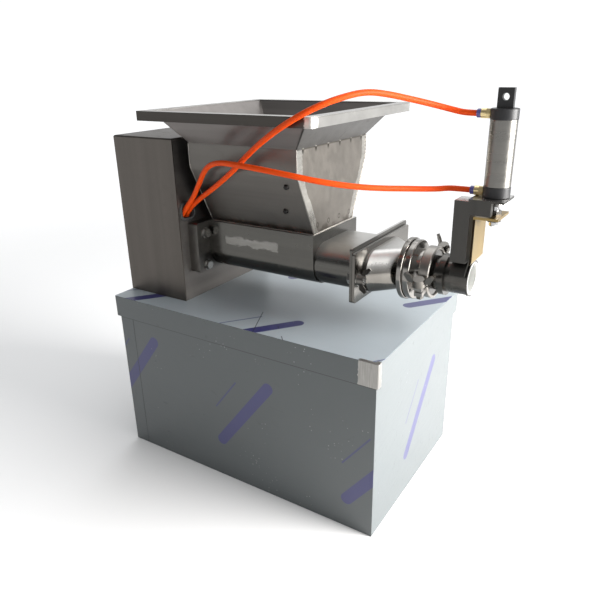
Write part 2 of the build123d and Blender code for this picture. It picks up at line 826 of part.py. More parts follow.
# Rings and neck between the cone and the clamp
with BuildPart() as adapter_ring:
    with BuildSketch(across(cone_end)):
        Circle(ring_radius)
    extrude(amount=ring_width)
    fillet(adapter_ring.edges(), ring_width / 5)
    with BuildSketch(across(ring_front)):
        Circle(ring_groove_radius)
    extrude(amount=ring_gap)
    with BuildSketch(across(cone_end)):
        Circle(pipe_radius - pipe_wall)
    extrude(amount=ring_width + ring_gap, mode=Mode.SUBTRACT)
keep(adapter_ring, "adapter_ring")

with BuildPart() as adapter_neck:
    with BuildSketch(across(neck_back)):
        Circle(front_ring_radius)
    extrude(amount=front_ring_width)
    fillet(adapter_neck.edges(), front_ring_width / 6)
    with BuildSketch(across(neck_start)):
        Circle(neck_radius)
    extrude(amount=neck_length)
    with BuildSketch(across(neck_start + neck_length)):
        Circle(ferrule_radius)
    extrude(amount=ferrule_width)
    with BuildSketch(across(neck_back)):
        Circle(outlet_bore)
    extrude(amount=front_ring_width + neck_length + ferrule_width, mode=Mode.SUBTRACT)
keep(adapter_neck, "adapter_neck")

# Outlet tube: ferrule, step, tube and mouth rim, bored for the plastic sleeve
sleeve_outer = outlet_bore
with BuildPart() as outlet_tube:
    with BuildSketch(across(ferrule_joint)):
        Circle(ferrule_radius)
    extrude(amount=ferrule_width)
    with BuildSketch(across(leg_left - outlet_step_gap)):
        Circle(outlet_step_radius)
    extrude(amount=-outlet_step_width)
    with BuildSketch(across(ferrule_joint)):
        Circle(outlet_radius)
    extrude(amount=outlet_length)
    with BuildSketch(across(mouth_x - mouth_rim_width)):
        Circle(mouth_rim_radius)
    extrude(amount=mouth_rim_width)
    with BuildSketch(across(ferrule_joint)):
        Circle(sleeve_outer)
    extrude(amount=outlet_length, mode=Mode.SUBTRACT)
keep(outlet_tube, "outlet_tube")

with BuildPart() as outlet_sleeve:
    with BuildSketch(across(ferrule_joint)):
        Circle(sleeve_outer)
        Circle(sleeve_outer - sleeve_wall, mode=Mode.SUBTRACT)
    extrude(amount=outlet_length)
    chamfer(outlet_sleeve.edges().group_by(Axis.X)[-1].sort_by(SortBy.LENGTH)[0], sleeve_wall / 2)
keep(outlet_sleeve, "outlet_sleeve")


def clamp_half(side):
    """Makes one half of the clamp, on the given side of its split, with its two bolt lugs."""
    lug_mid = side * (clamp_split / 2 + clamp_lug_thickness / 2)
    with BuildPart() as half:
        with BuildSketch(clamp_plane(clamp_back)):
            Circle(clamp_radius)
        extrude(amount=clamp_width)
        fillet(half.edges(), clamp_width / 8)
        with BuildSketch(clamp_plane(ferrule_joint - clamp_lug_width / 2)):
            with Locations((0, lug_mid)):
                Rectangle(2 * clamp_lug_reach, clamp_lug_thickness)
        extrude(amount=clamp_lug_width)
        with BuildSketch(clamp_plane(clamp_back)):
            Circle(ferrule_radius)
        extrude(amount=clamp_width, mode=Mode.SUBTRACT)
        with BuildSketch(clamp_plane(clamp_back)):
            with Locations((0, side * (clamp_split / 2 - clamp_lug_reach))):
                Rectangle(2 * clamp_lug_reach, 2 * clamp_lug_reach)
        extrude(amount=clamp_width, mode=Mode.SUBTRACT)
        for centre in clamp_bolt_centres:
            with BuildSketch(Plane(origin=centre, x_dir=(1, 0, 0), z_dir=clamp_side)):
                Circle(clamp_bolt_radius)
            extrude(amount=side * clamp_lug_reach, mode=Mode.SUBTRACT)
    return half


keep(clamp_half(-1), "clamp_upper_half")
keep(clamp_half(1), "clamp_lower_half")

# Clamp bolts, one on each side, with their heads under the lower lugs
clamp_stud_reach = 2 * nut_rise + clamp_wing_share * wing_hub_height
with BuildPart() as clamp_bolts:
    for centre in clamp_bolt_centres:
        under_lug = Plane(origin=centre - nut_side * nut_rise, x_dir=(1, 0, 0), z_dir=nut_side)
        with BuildSketch(under_lug):
            hexagon(clamp_bolt_hex)
        extrude(amount=-bolt_head_height)
        with BuildSketch(under_lug):
            Circle(clamp_bolt_radius)
        extrude(amount=clamp_stud_reach)
keep(clamp_bolts, "clamp_bolts")

# Hopper: upright ends, sides that taper in below a soft bend, a funnel, and a flat rim with a turned-down edge
foot_inner = hopper_foot_half - hopper_sheet
waist_inner = hopper_waist_half - hopper_sheet


def hopper_block(foot, waist, bend, rear, length):
    """Makes a block of the hopper's cross-section, foot and waist half-widths and bend radius given."""
    with BuildPart() as block:
        with BuildSketch(across(rear, 0, seat_z)) as section:
            with BuildLine():
                Polyline(
                    (-foot, 0),
                    (foot, 0),
                    (waist, hopper_taper_height),
                    (waist, hopper_side_height),
                    (-waist, hopper_side_height),
                    (-waist, hopper_taper_height),
                    close=True,
                )
            make_face()
            fillet(section.vertices().group_by(Axis.Y)[1], bend)
        extrude(amount=length)
    return block.part


inner_length = hopper_length - 2 * hopper_sheet
hopper_outside = hopper_block(hopper_foot_half, hopper_waist_half, hopper_bend_radius, hopper_rear, hopper_length)
hopper_inside = hopper_block(
    foot_inner, waist_inner, hopper_bend_radius - hopper_sheet, hopper_rear + hopper_sheet, inner_length
)
with BuildPart() as hopper_body:
    add(hopper_outside)
    add(hopper_inside, mode=Mode.SUBTRACT)
keep(hopper_body, "hopper_body")


def level_wall(flare):
    """Thickness, measured level, of a funnel wall that leans out by the flare over the funnel's height."""
    return hopper_sheet * (flare ** 2 + funnel_height ** 2) ** 0.5 / funnel_height


end_wall = level_wall(funnel_end_flare)
side_wall = level_wall(funnel_side_flare)
mouth_length = funnel_length - 2 * end_wall
mouth_half = funnel_half - side_wall
with BuildPart() as hopper_funnel:
    with BuildSketch(level(waist_z, hopper_mid)):
        RectangleRounded(hopper_length, 2 * hopper_waist_half, waist_corner)
    with BuildSketch(level(rim_seat, hopper_mid)):
        RectangleRounded(funnel_length, 2 * funnel_half, rim_corner)
    loft(ruled=True)
    with BuildSketch(level(waist_z, hopper_mid)):
        Rectangle(hopper_length - 2 * end_wall, 2 * (hopper_waist_half - side_wall))
    with BuildSketch(level(rim_seat, hopper_mid)):
        Rectangle(mouth_length, 2 * mouth_half)
    loft(ruled=True, mode=Mode.SUBTRACT)
keep(hopper_funnel, "hopper_funnel")

with BuildPart() as hopper_rim:
    with BuildSketch(level(rim_top - rim_height, hopper_mid)):
        RectangleRounded(rim_length, 2 * rim_half, rim_corner)
        RectangleRounded(
            rim_length - 2 * hopper_sheet, 2 * (rim_half - hopper_sheet), rim_corner - hopper_sheet, mode=Mode.SUBTRACT
        )
    extrude(amount=rim_height)
    with BuildSketch(level(rim_seat, hopper_mid)):
        RectangleRounded(rim_length, 2 * rim_half, rim_corner)
        Rectangle(mouth_length, 2 * mouth_half, mode=Mode.SUBTRACT)
    extrude(amount=hopper_sheet)
keep(hopper_rim, "hopper_rim")

# Button-head bolts on the tapered sides of the hopper, near the outlet end
taper_slope = (hopper_waist_half - hopper_foot_half) / hopper_taper_height
with BuildPart() as hopper_bolts:
    for side_y in (-1, 1):
        outward = Vector(0, side_y, -taper_slope).normalized()
        for inset, rise in (
            (hopper_bolt_low_inset, hopper_bolt_low),
            (hopper_bolt_high_inset, hopper_bolt_high),
        ):
            seat = Vector(hopper_front - inset, side_y * (hopper_foot_half + taper_slope * rise), seat_z + rise)
            with BuildSketch(Plane(origin=seat, x_dir=(1, 0, 0), z_dir=outward)):
                Circle(hopper_bolt_radius)
            extrude(amount=hopper_bolt_head, taper=20)
keep(hopper_bolts, "hopper_bolts")

# Screws: a shaft through the block and the housing, with one flight each, of opposite hands
case_right = bulkhead_inner - 2 * gear_wall_gap - gear_width
case_left = case_right - case_length
screw_tip = front_end - screw_end_gap
flight_start = block_front + gear_wall_gap


def screw(y, shaft_end, left_handed):
    """Makes a screw with its shaft from shaft_end to the tip and its flight inside the trough."""
    flight_mid = (shaft_radius - flight_root_bite + screw_radius) / 2
    flight_depth = screw_radius - shaft_radius + flight_root_bite
    with BuildPart() as body:
        with BuildLine() as path:
            Helix(
                screw_pitch,
                screw_tip - flight_start - 2 * flight_thickness,
                flight_mid,
                center=(flight_start + flight_thickness, y, axis_z),
                direction=(1, 0, 0),
                lefthand=left_handed,
            )
        start = path.line @ 0
        outward = start - Vector(start.X, y, axis_z)
        with BuildSketch(Plane(origin=start, x_dir=outward, z_dir=path.line % 0)):
            Rectangle(flight_depth, flight_thickness)
        sweep(path=path.line, is_frenet=True)
        with BuildSketch(across(shaft_end, y)):
            Circle(shaft_radius)
        extrude(amount=screw_tip - shaft_end)
        chamfer(body.edges().group_by(Axis.X)[-1], flight_thickness / 4)
    return body


gear_right = bulkhead_inner - gear_wall_gap
gear_left = gear_right - gear_width
keep(screw(-screw_y, case_left, False), "screw_near")
keep(screw(screw_y, gear_left, True), "screw_far")

# Timing gears, involute teeth with backlash, keyed to the screw shafts
pitch_radius = screw_spacing / 2
gear_base = pitch_radius * cos(radians(pressure_angle))
gear_tip = pitch_radius + 0.95 * gear_module
gear_root = pitch_radius - 1.25 * gear_module


def involute(angle):
    """Involute of an angle in radians."""
    return tan(angle) - angle


def flank_angle(radius):
    """Half the angle that a tooth takes up at a radius on or outside the base circle."""
    at_pitch = pi / (2 * gear_teeth) - gear_backlash / (2 * pitch_radius)
    return at_pitch + involute(radians(pressure_angle)) - involute(acos(gear_base / radius))


def flank_point(radius, side, reach=None):
    """Point of a tooth flank at a radius, on one side of the tooth that points along own x."""
    angle = side * flank_angle(radius)
    length = reach if reach else radius
    return (length * cos(angle), length * sin(angle))


with BuildSketch() as gear_tooth:
    with BuildLine():
        lower_flank = ThreePointArc(
            flank_point(gear_base, -1), flank_point(pitch_radius, -1), flank_point(gear_tip, -1)
        )
        upper_flank = ThreePointArc(
            flank_point(gear_base, 1), flank_point(pitch_radius, 1), flank_point(gear_tip, 1)
        )
        Line(lower_flank @ 1, upper_flank @ 1)
        lower_foot = flank_point(gear_base, -1, gear_root - gear_module / 2)
        upper_foot = flank_point(gear_base, 1, gear_root - gear_module / 2)
        Line(lower_flank @ 0, lower_foot)
        Line(upper_flank @ 0, upper_foot)
        Line(lower_foot, upper_foot)
    make_face()


def timing_gear(y, phase):
    """Makes a timing gear on the screw shaft at y, turned by the phase in degrees."""
    with BuildPart() as gear:
        with BuildSketch(across(gear_left, y)):
            Circle(gear_root)
            with PolarLocations(0, gear_teeth, start_angle=phase):
                add(gear_tooth.sketch)
            Circle(shaft_radius, mode=Mode.SUBTRACT)
        extrude(amount=gear_width)
    return gear


keep(timing_gear(-screw_y, 0.0), "timing_gear_near")
keep(timing_gear(screw_y, 180.0 + 180.0 / gear_teeth), "timing_gear_far")

# Worm reducer on the lid inside the housing, its hollow output on the near screw's shaft
worm_z = axis_z + worm_above_axis
case_top = worm_z + case_shoulder
case_mid_x = (case_left + case_right) / 2
with BuildPart() as reducer_case:
    with BuildSketch(across(case_left, -screw_y, (base_height + case_top) / 2)):
        Rectangle(2 * case_half_width, case_top - base_height)
    extrude(amount=case_length)
    fillet(reducer_case.edges().filter_by(Axis.X), case_edge_radius)
    with BuildSketch(level(base_height, case_mid_x, -screw_y)):
        Rectangle(case_length, case_foot_width)
    extrude(amount=case_foot_thickness)
    with BuildSketch(across(case_left, -screw_y)):
        Circle(shaft_radius + running_clearance)
    extrude(amount=case_length, mode=Mode.SUBTRACT)
    with BuildSketch(sideways(-screw_y + case_half_width, drive_x, worm_z)):
        Circle(worm_shaft_radius + running_clearance)
    extrude(amount=case_half_width, mode=Mode.SUBTRACT)
keep(reducer_case, "reducer_case")


def pulley(z, radius, shaft, shaft_back):
    """Makes a grooved belt pulley on its shaft, axis along Y, at the given height over drive_x."""
    pulley_end = pulley_start + pulley_width
    with BuildPart() as wheel:
        with BuildSketch(sideways(pulley_end, drive_x, z)):
            Circle(radius + belt_thickness / 2)
        extrude(amount=pulley_width)
        with BuildSketch(sideways(pulley_mid + belt_width / 2 + belt_bed_gap, drive_x, z)):
            Circle(radius + belt_thickness)
            Circle(radius - belt_bed_gap, mode=Mode.SUBTRACT)
        extrude(amount=belt_width + 2 * belt_bed_gap, mode=Mode.SUBTRACT)
        with BuildSketch(sideways(pulley_end, drive_x, z)):
            Circle(shaft)
        extrude(amount=pulley_end - shaft_back)
    return wheel


worm_shaft_back = -screw_y + free_clearance
keep(pulley(worm_z, reducer_pulley_radius, worm_shaft_radius, worm_shaft_back), "reducer_pulley")

motor_z = bottom_thickness + motor_axis_height
motor_face = pulley_start - motor_nose_gap
with BuildPart() as motor_body:
    with BuildSketch(sideways(motor_face, drive_x, motor_z)):
        Circle(motor_radius)
    extrude(amount=motor_length)
    fillet(motor_body.edges(), motor_nose_gap / 2)
    with BuildSketch(sideways(motor_face - motor_length / 4, drive_x, bottom_thickness + motor_foot_thickness / 2)):
        Rectangle(motor_foot_width, motor_foot_thickness)
    extrude(amount=motor_length / 2)
    with BuildSketch(sideways(motor_face - motor_length / 4, drive_x, (bottom_thickness + motor_z) / 2)):
        Rectangle(motor_foot_width / 2, motor_z - bottom_thickness)
    extrude(amount=motor_length / 2)
    with BuildSketch(level(motor_z, drive_x, motor_face - motor_length / 2)):
        Rectangle(motor_radius, motor_radius)
    extrude(amount=motor_radius * 1.3)
    with BuildSketch(sideways(motor_face, drive_x, motor_z)):
        Circle(motor_shaft_radius + running_clearance)
    extrude(amount=motor_length / 2, mode=Mode.SUBTRACT)
keep(motor_body, "motor_body")

motor_shaft_back = motor_face - motor_length / 2 + free_clearance
keep(pulley(motor_z, motor_pulley_radius, motor_shaft_radius, motor_shaft_back), "motor_pulley")

# Belt round both pulleys, bedded a little above the groove
with BuildPart() as drive_belt:
    with BuildSketch(sideways(pulley_mid + belt_width / 2, drive_x, motor_z)):
        with Locations((0, 0)):
            Circle(motor_pulley_radius + belt_thickness)
        with Locations((0, worm_z - motor_z)):
            Circle(reducer_pulley_radius + belt_thickness)
        make_hull()
    extrude(amount=belt_width)
    with BuildSketch(sideways(pulley_mid + belt_width / 2, drive_x, motor_z)):
        with Locations((0, 0)):
            Circle(motor_pulley_radius)
        with Locations((0, worm_z - motor_z)):
            Circle(reducer_pulley_radius)
        make_hull()
    extrude(amount=belt_width, mode=Mode.SUBTRACT)
keep(drive_belt, "drive_belt")

# Bracket of the air cylinder: deep leg, arm, saddle on the outlet tube and seat plate on top
near_y = -bracket_near_face
arm_end = cylinder_x + bracket_arm_overhang
leg_foot = axis_z + bracket_saddle_radius - bracket_saddle_join
plate_far_y = cap_radius + bracket_arm_overhang
plate_start = leg_right - bracket_plate_lap
plate_end = cylinder_x + cap_radius + bracket_plate_overhang
with BuildPart() as cutter_bracket:
    with BuildSketch(sideways(near_y + bracket_thickness)) as plate_outline:
        with BuildLine():
            Polyline(
                (leg_left, leg_foot),
                (leg_right, leg_foot),
                (leg_right, arm_top - bracket_arm_height),
                (arm_end, arm_top - bracket_arm_height),
                (arm_end, arm_top),
                (leg_left, arm_top),
                close=True,
            )
        make_face()
        inner_corner = plate_outline.vertices().sort_by_distance((leg_right, near_y, arm_top - bracket_arm_height))
        fillet(inner_corner[0], bracket_fillet)
    extrude(amount=bracket_thickness)
    with BuildSketch(sideways(near_y + bracket_leg_depth, (leg_left + leg_right) / 2, (leg_foot + arm_top) / 2)):
        Rectangle(bracket_leg_width, arm_top - leg_foot)
    extrude(amount=bracket_leg_depth)
    with BuildSketch(across(leg_left)):
        Circle(bracket_saddle_radius)
        with Locations((0, bracket_saddle_rise - bracket_saddle_radius)):
            Rectangle(2 * bracket_saddle_radius, 2 * bracket_saddle_radius, mode=Mode.SUBTRACT)
    extrude(amount=bracket_leg_width)
    with BuildSketch(across(leg_left)):
        Circle(outlet_radius)
    extrude(amount=bracket_leg_width, mode=Mode.SUBTRACT)
    with BuildSketch(level(arm_top)):
        with BuildLine():
            Polyline(
                (plate_start, near_y),
                (plate_end, near_y),
                (plate_end, plate_far_y),
                (plate_start, plate_far_y),
                close=True,
            )
        make_face()
    extrude(amount=bracket_plate_thickness)
    with BuildSketch(level(arm_top, cylinder_x)):
        Circle(nose_radius)
    extrude(amount=bracket_plate_thickness, mode=Mode.SUBTRACT)
keep(cutter_bracket, "cutter_bracket")

# Air cylinder: lower cap with threaded nose, barrel, upper cap with its tang
cap_face = cylinder_x - cap_radius
upper_port_z = barrel_top + top_cap_height / 2
lower_port_z = cylinder_foot + fitting_hex / 2 + free_clearance
with BuildPart() as cylinder_bottom_cap:
    with BuildSketch(level(cylinder_foot, cylinder_x)):
        Circle(cap_radius)
    extrude(amount=cap_height)
    fillet(cylinder_bottom_cap.edges(), cap_height / 12)
    with BuildSketch(level(cylinder_foot, cylinder_x)):
        Circle(nose_radius)
    extrude(amount=-nose_length)
    with BuildSketch(level(cylinder_foot - nose_length, cylinder_x)):
        Circle(rod_radius + running_clearance)
    extrude(amount=nose_length + cap_height, mode=Mode.SUBTRACT)
    with BuildSketch(across(cap_face, 0, lower_port_z)):
        Circle(fitting_thread_radius)
    extrude(amount=fitting_thread_depth, mode=Mode.SUBTRACT)
keep(cylinder_bottom_cap, "cylinder_bottom_cap")

with BuildPart() as cylinder_barrel:
    with BuildSketch(level(barrel_foot, cylinder_x)):
        Circle(barrel_radius)
        Circle(cylinder_bore, mode=Mode.SUBTRACT)
    extrude(amount=barrel_length)
keep(cylinder_barrel, "cylinder_barrel")

with BuildPart() as cylinder_top_cap:
    with BuildSketch(level(barrel_top, cylinder_x)):
        Circle(cap_radius)
    extrude(amount=top_cap_height)
    fillet(cylinder_top_cap.edges(), top_cap_height / 12)
    with BuildSketch(sideways(tang_thickness / 2, cylinder_x, cylinder_top + tang_height / 2)):
        Rectangle(tang_width, tang_height)
    extrude(amount=tang_thickness)
    with BuildSketch(sideways(tang_thickness / 2, cylinder_x, cylinder_top + tang_hole_rise)):
        Circle(tang_hole_radius)
    extrude(amount=tang_thickness, mode=Mode.SUBTRACT)
    with BuildSketch(across(cap_face, 0, upper_port_z)):
        Circle(fitting_thread_radius)
    extrude(amount=fitting_thread_depth, mode=Mode.SUBTRACT)
keep(cylinder_top_cap, "cylinder_top_cap")

with BuildPart() as nose_nut:
    with BuildSketch(level(arm_top, cylinder_x)):
        hexagon(nose_nut_hex)
        Circle(nose_radius, mode=Mode.SUBTRACT)
    extrude(amount=-nose_nut_height)
keep(nose_nut, "nose_nut")

# Rod with its piston at the top of the bore, and the nuts that hold the knife
rod_low = knife_flange_low - rod_nut_height - rod_tail
piston_top = barrel_top - free_clearance
with BuildPart() as piston_rod:
    with BuildSketch(level(rod_low, cylinder_x)):
        Circle(rod_radius)
    extrude(amount=piston_top - rod_low)
    chamfer(piston_rod.edges().group_by(Axis.Z)[0], rod_radius / 6)
    with BuildSketch(level(piston_top, cylinder_x)):
        Circle(cylinder_bore - running_clearance)
    extrude(amount=-piston_height)
keep(piston_rod, "piston_rod")

with BuildPart() as rod_nuts:
    for nut_z in (knife_flange_top, knife_flange_low - rod_nut_height):
        with BuildSketch(level(nut_z, cylinder_x)):
            hexagon(rod_nut_hex)
            Circle(rod_radius, mode=Mode.SUBTRACT)
        extrude(amount=rod_nut_height)
keep(rod_nuts, "rod_nuts")

# Knife: a bent plate, its flange on the rod and its blade ground to an edge beside the mouth
with BuildPart() as knife:
    with BuildSketch(sideways(knife_half_width)):
        with BuildLine():
            Polyline(
                (knife_back, knife_flange_top),
                (knife_back, knife_low),
                (knife_back + knife_edge_land, knife_low),
                (knife_front, knife_low + knife_bevel_height),
                (knife_front, knife_flange_low),
                (knife_back + knife_flange_length, knife_flange_low),
                (knife_back + knife_flange_length, knife_flange_top),
                close=True,
            )
        make_face()
    extrude(amount=2 * knife_half_width)
    with BuildSketch(level(knife_flange_low, cylinder_x)):
        Circle(rod_radius)
    extrude(amount=knife_flange_thickness, mode=Mode.SUBTRACT)
keep(knife, "knife")

# Push-in fittings on the cylinder's ports: brass bodies screwed into the caps, and their release collars
with BuildPart() as cylinder_fittings:
    for port_z in (upper_port_z, lower_port_z):
        with BuildSketch(across(cap_face, 0, port_z)):
            Circle(fitting_thread_radius)
        extrude(amount=fitting_thread_depth)
        with BuildSketch(across(cap_face, 0, port_z)):
            hexagon(fitting_hex)
        extrude(amount=-fitting_hex_length)
        with BuildSketch(across(cap_face - fitting_hex_length, 0, port_z)):
            Circle(fitting_radius)
        extrude(amount=fitting_hex_length - fitting_length)
keep(cylinder_fittings, "cylinder_fittings")

collar_back = cap_face - fitting_length
with BuildPart() as fitting_collars:
    with BuildSketch(across(collar_back)):
        for port_z in (upper_port_z, lower_port_z):
            with Locations((0, port_z - axis_z)):
                Circle(fitting_collar_radius)
    extrude(amount=-fitting_collar_length)
    fillet(fitting_collars.edges().group_by(Axis.X)[0], fitting_collar_length / 6)
keep(fitting_collars, "fitting_collars")

# Solenoid valve on the inner face of the bulkhead, under the grommet, with its coil below
valve_top = hose_exit_z - valve_drop
valve_x = bulkhead_inner - valve_depth / 2
valve_ports = (hose_exit_y - valve_port_pitch / 2, hose_exit_y + valve_port_pitch / 2)
with BuildPart() as solenoid_valve:
    with BuildSketch(level(valve_top, valve_x, hose_exit_y)):
        Rectangle(valve_depth, valve_width)
    extrude(amount=-valve_height)
    with BuildSketch(level(valve_top - valve_height, valve_x, hose_exit_y)):
        Rectangle(coil_width, coil_width)
    extrude(amount=-coil_height)
keep(solenoid_valve, "solenoid_valve")

# Air fittings of the housing: one for each hose on the valve, and the supply inlet at the outer end
with BuildPart() as air_fittings:
    for port_y in valve_ports:
        with BuildSketch(level(valve_top, valve_x, port_y)):
            hexagon(valve_port_hex)
        extrude(amount=valve_port_reach)
    with BuildSketch(across(housing_left, inlet_y, inlet_z)):
        hexagon(inlet_hex)
    extrude(amount=-inlet_reach / 2)
    with BuildSketch(across(housing_left - inlet_reach, inlet_y, inlet_z)):
        Circle(inlet_radius)
    extrude(amount=2 * inlet_reach)
keep(air_fittings, "air_fittings")

# Air hoses, with route points chosen along them as they hang from the housing to the cylinder
hose_start_z = valve_top + valve_port_reach
hose_end_x = collar_back - fitting_collar_length
first_run = 3 * hose_radius
last_run = 4 * hose_radius


def on_way(along, across_by, up):
    """Place on a hose's way, measured from the middle of the grommet along X, Y and Z."""
    return (housing_right + along, hose_exit_y + across_by, hose_exit_z + up)


def past_rim(along, outside, up):
    """Place on the way past the hopper: distance along, outside the rim's near edge, and up from the grommet."""
    return (housing_right + along, -rim_half - outside, hose_exit_z + up)


def to_cylinder(along, aside, up):
    """Place near the cylinder: distance along, to the near side of its axis, and up from the grommet."""
    return (housing_right + along, -aside, hose_exit_z + up)


upper_route = [
    (valve_x, valve_ports[1], hose_start_z),
    (valve_x, valve_ports[1], hose_start_z + first_run),
    on_way(-12.5, 6.5, -16),
    on_way(-4, 5, -3.5),
    on_way(10, 2.5, 9),
    on_way(35, -5, 25),
    on_way(77, -17, 48),
    past_rim(126, -27, 78),
    past_rim(176, -11, 114),
    past_rim(222, 5, 140),
    past_rim(264, 15, 161),
    past_rim(292, 7, 175),
    past_rim(312, -13, 184),
    to_cylinder(331, 113, 190),
    to_cylinder(348, 83, 185.5),
    to_cylinder(364, 56, 179),
    to_cylinder(379, 33, 173),
    to_cylinder(393, 15.5, 167.5),
    to_cylinder(407, 4.5, 162.8),
    (hose_end_x - last_run, 0, upper_port_z),
    (hose_end_x, 0, upper_port_z),
]
lower_route = [
    (valve_x, valve_ports[0], hose_start_z),
    (valve_x, valve_ports[0], hose_start_z + first_run),
    on_way(-12.5, -7, -16),
    on_way(-4.5, -7, -4),
    on_way(9, -8, 10),
    on_way(28, -12, 28),
    on_way(49, -20, 52),
    on_way(75, -31, 81),
    past_rim(111, -14, 93),
    past_rim(156, -4, 93),
    past_rim(200, 1, 91),
    past_rim(243, -3, 86),
    past_rim(279, -19, 78),
    past_rim(312, -47, 70),
    to_cylinder(340, 78, 64.5),
    to_cylinder(362, 48, 61),
    to_cylinder(380, 27, 58.5),
    to_cylinder(395, 13, 57.5),
    to_cylinder(409, 4, 58.5),
    (hose_end_x - last_run, 0, lower_port_z),
    (hose_end_x, 0, lower_port_z),
]


def hose(route, name):
    """Makes a hose along its route, in straight runs joined by arcs as large as the runs allow."""
    points = [Vector(*place) for place in route]
    radii = []
    for before, corner, after in zip(points, points[1:], points[2:]):
        run = corner - before
        onward = after - corner
        half_turn = radians(run.get_angle(onward)) / 2
        radii.append(0.45 * min(run.length, onward.length) / tan(half_turn))
    with BuildPart() as tube:
        with BuildLine() as path:
            FilletPolyline(*points, radius=radii)
        with BuildSketch(Plane(origin=points[0], z_dir=points[1] - points[0])) as section:
            Circle(hose_radius)
            Circle(hose_bore, mode=Mode.SUBTRACT)
        sweep(path=path.line)
    length = sum(edge.length for edge in path.edges())
    expected = section.sketch.area * length
    print(name, "radii", [round(radius) for radius in radii])
    print(name, "length", round(length, 1), "volume ratio", round(tube.part.volume / expected, 5))
    return tube


keep(hose(upper_route, "upper hose"), "upper_hose")
keep(hose(lower_route, "lower hose"), "lower_hose")
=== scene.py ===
"""Looks of a bench dough extruder: finishes, weld beads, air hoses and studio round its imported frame."""
from __future__ import annotations

import json
import logging
import math
from abc import ABC, abstractmethod
from dataclasses import dataclass
from enum import Enum
from typing import Any, ClassVar, Iterable, Sequence

import bpy
import numpy as np
from mathutils import Matrix, Vector

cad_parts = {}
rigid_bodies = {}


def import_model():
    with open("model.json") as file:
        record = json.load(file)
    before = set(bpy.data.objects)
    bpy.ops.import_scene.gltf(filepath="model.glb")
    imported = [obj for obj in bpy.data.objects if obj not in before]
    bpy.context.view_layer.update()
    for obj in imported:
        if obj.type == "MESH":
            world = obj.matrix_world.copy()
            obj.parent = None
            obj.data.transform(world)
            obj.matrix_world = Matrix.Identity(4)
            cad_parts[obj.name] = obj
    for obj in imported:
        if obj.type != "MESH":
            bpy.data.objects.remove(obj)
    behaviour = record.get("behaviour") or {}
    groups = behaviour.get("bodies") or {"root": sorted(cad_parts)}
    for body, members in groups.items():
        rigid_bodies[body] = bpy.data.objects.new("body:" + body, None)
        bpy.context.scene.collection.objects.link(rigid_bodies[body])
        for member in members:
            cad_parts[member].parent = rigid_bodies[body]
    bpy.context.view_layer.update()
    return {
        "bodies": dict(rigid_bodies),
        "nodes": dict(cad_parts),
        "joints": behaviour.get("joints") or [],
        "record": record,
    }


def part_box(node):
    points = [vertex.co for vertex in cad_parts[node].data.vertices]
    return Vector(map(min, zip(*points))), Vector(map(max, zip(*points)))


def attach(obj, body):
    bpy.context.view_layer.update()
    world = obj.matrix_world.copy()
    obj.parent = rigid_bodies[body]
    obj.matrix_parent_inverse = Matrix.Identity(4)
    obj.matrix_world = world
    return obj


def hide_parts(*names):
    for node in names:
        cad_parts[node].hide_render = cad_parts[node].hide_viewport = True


LOG = logging.getLogger("dough_extruder")
Colour = tuple[float, float, float]
Point = tuple[float, float, float]
Edges = tuple[float, float]  # where a smooth step starts and ends
Tones = tuple[Colour, Colour]  # the dark and the pale end of a mottled tone
Shade = tuple["Value", "Value", "Value"]  # colour, roughness and relief height
MM = 0.001
FACING: Edges = (0.6, 0.8)  # size of a normal's part where a face starts to count as looking that way
RIPPLE, RIPPLE_SWELL = 1.6 * MM, 0.13  # length of a weld ripple and its share of the radius
SWAY, SWAY_SWELL = 311.0, 0.08  # slow swelling of a weld in radians per metre and its share of the radius


class Body(Enum):
    """Bodies of the frame that new pieces ride on."""

    MACHINE = "machine"
    CUTTER = "cutter"


class Grain(Enum):
    """Directions of a brushed or ground finish, as noise scales along X, Y and Z per metre."""

    ALONG = (5.0, 900.0, 900.0)
    ACROSS = (900.0, 5.0, 900.0)
    UPRIGHT = (900.0, 900.0, 5.0)
    TURNED = (1400.0, 14.0, 14.0)
    TURNED_UPRIGHT = (14.0, 14.0, 1400.0)


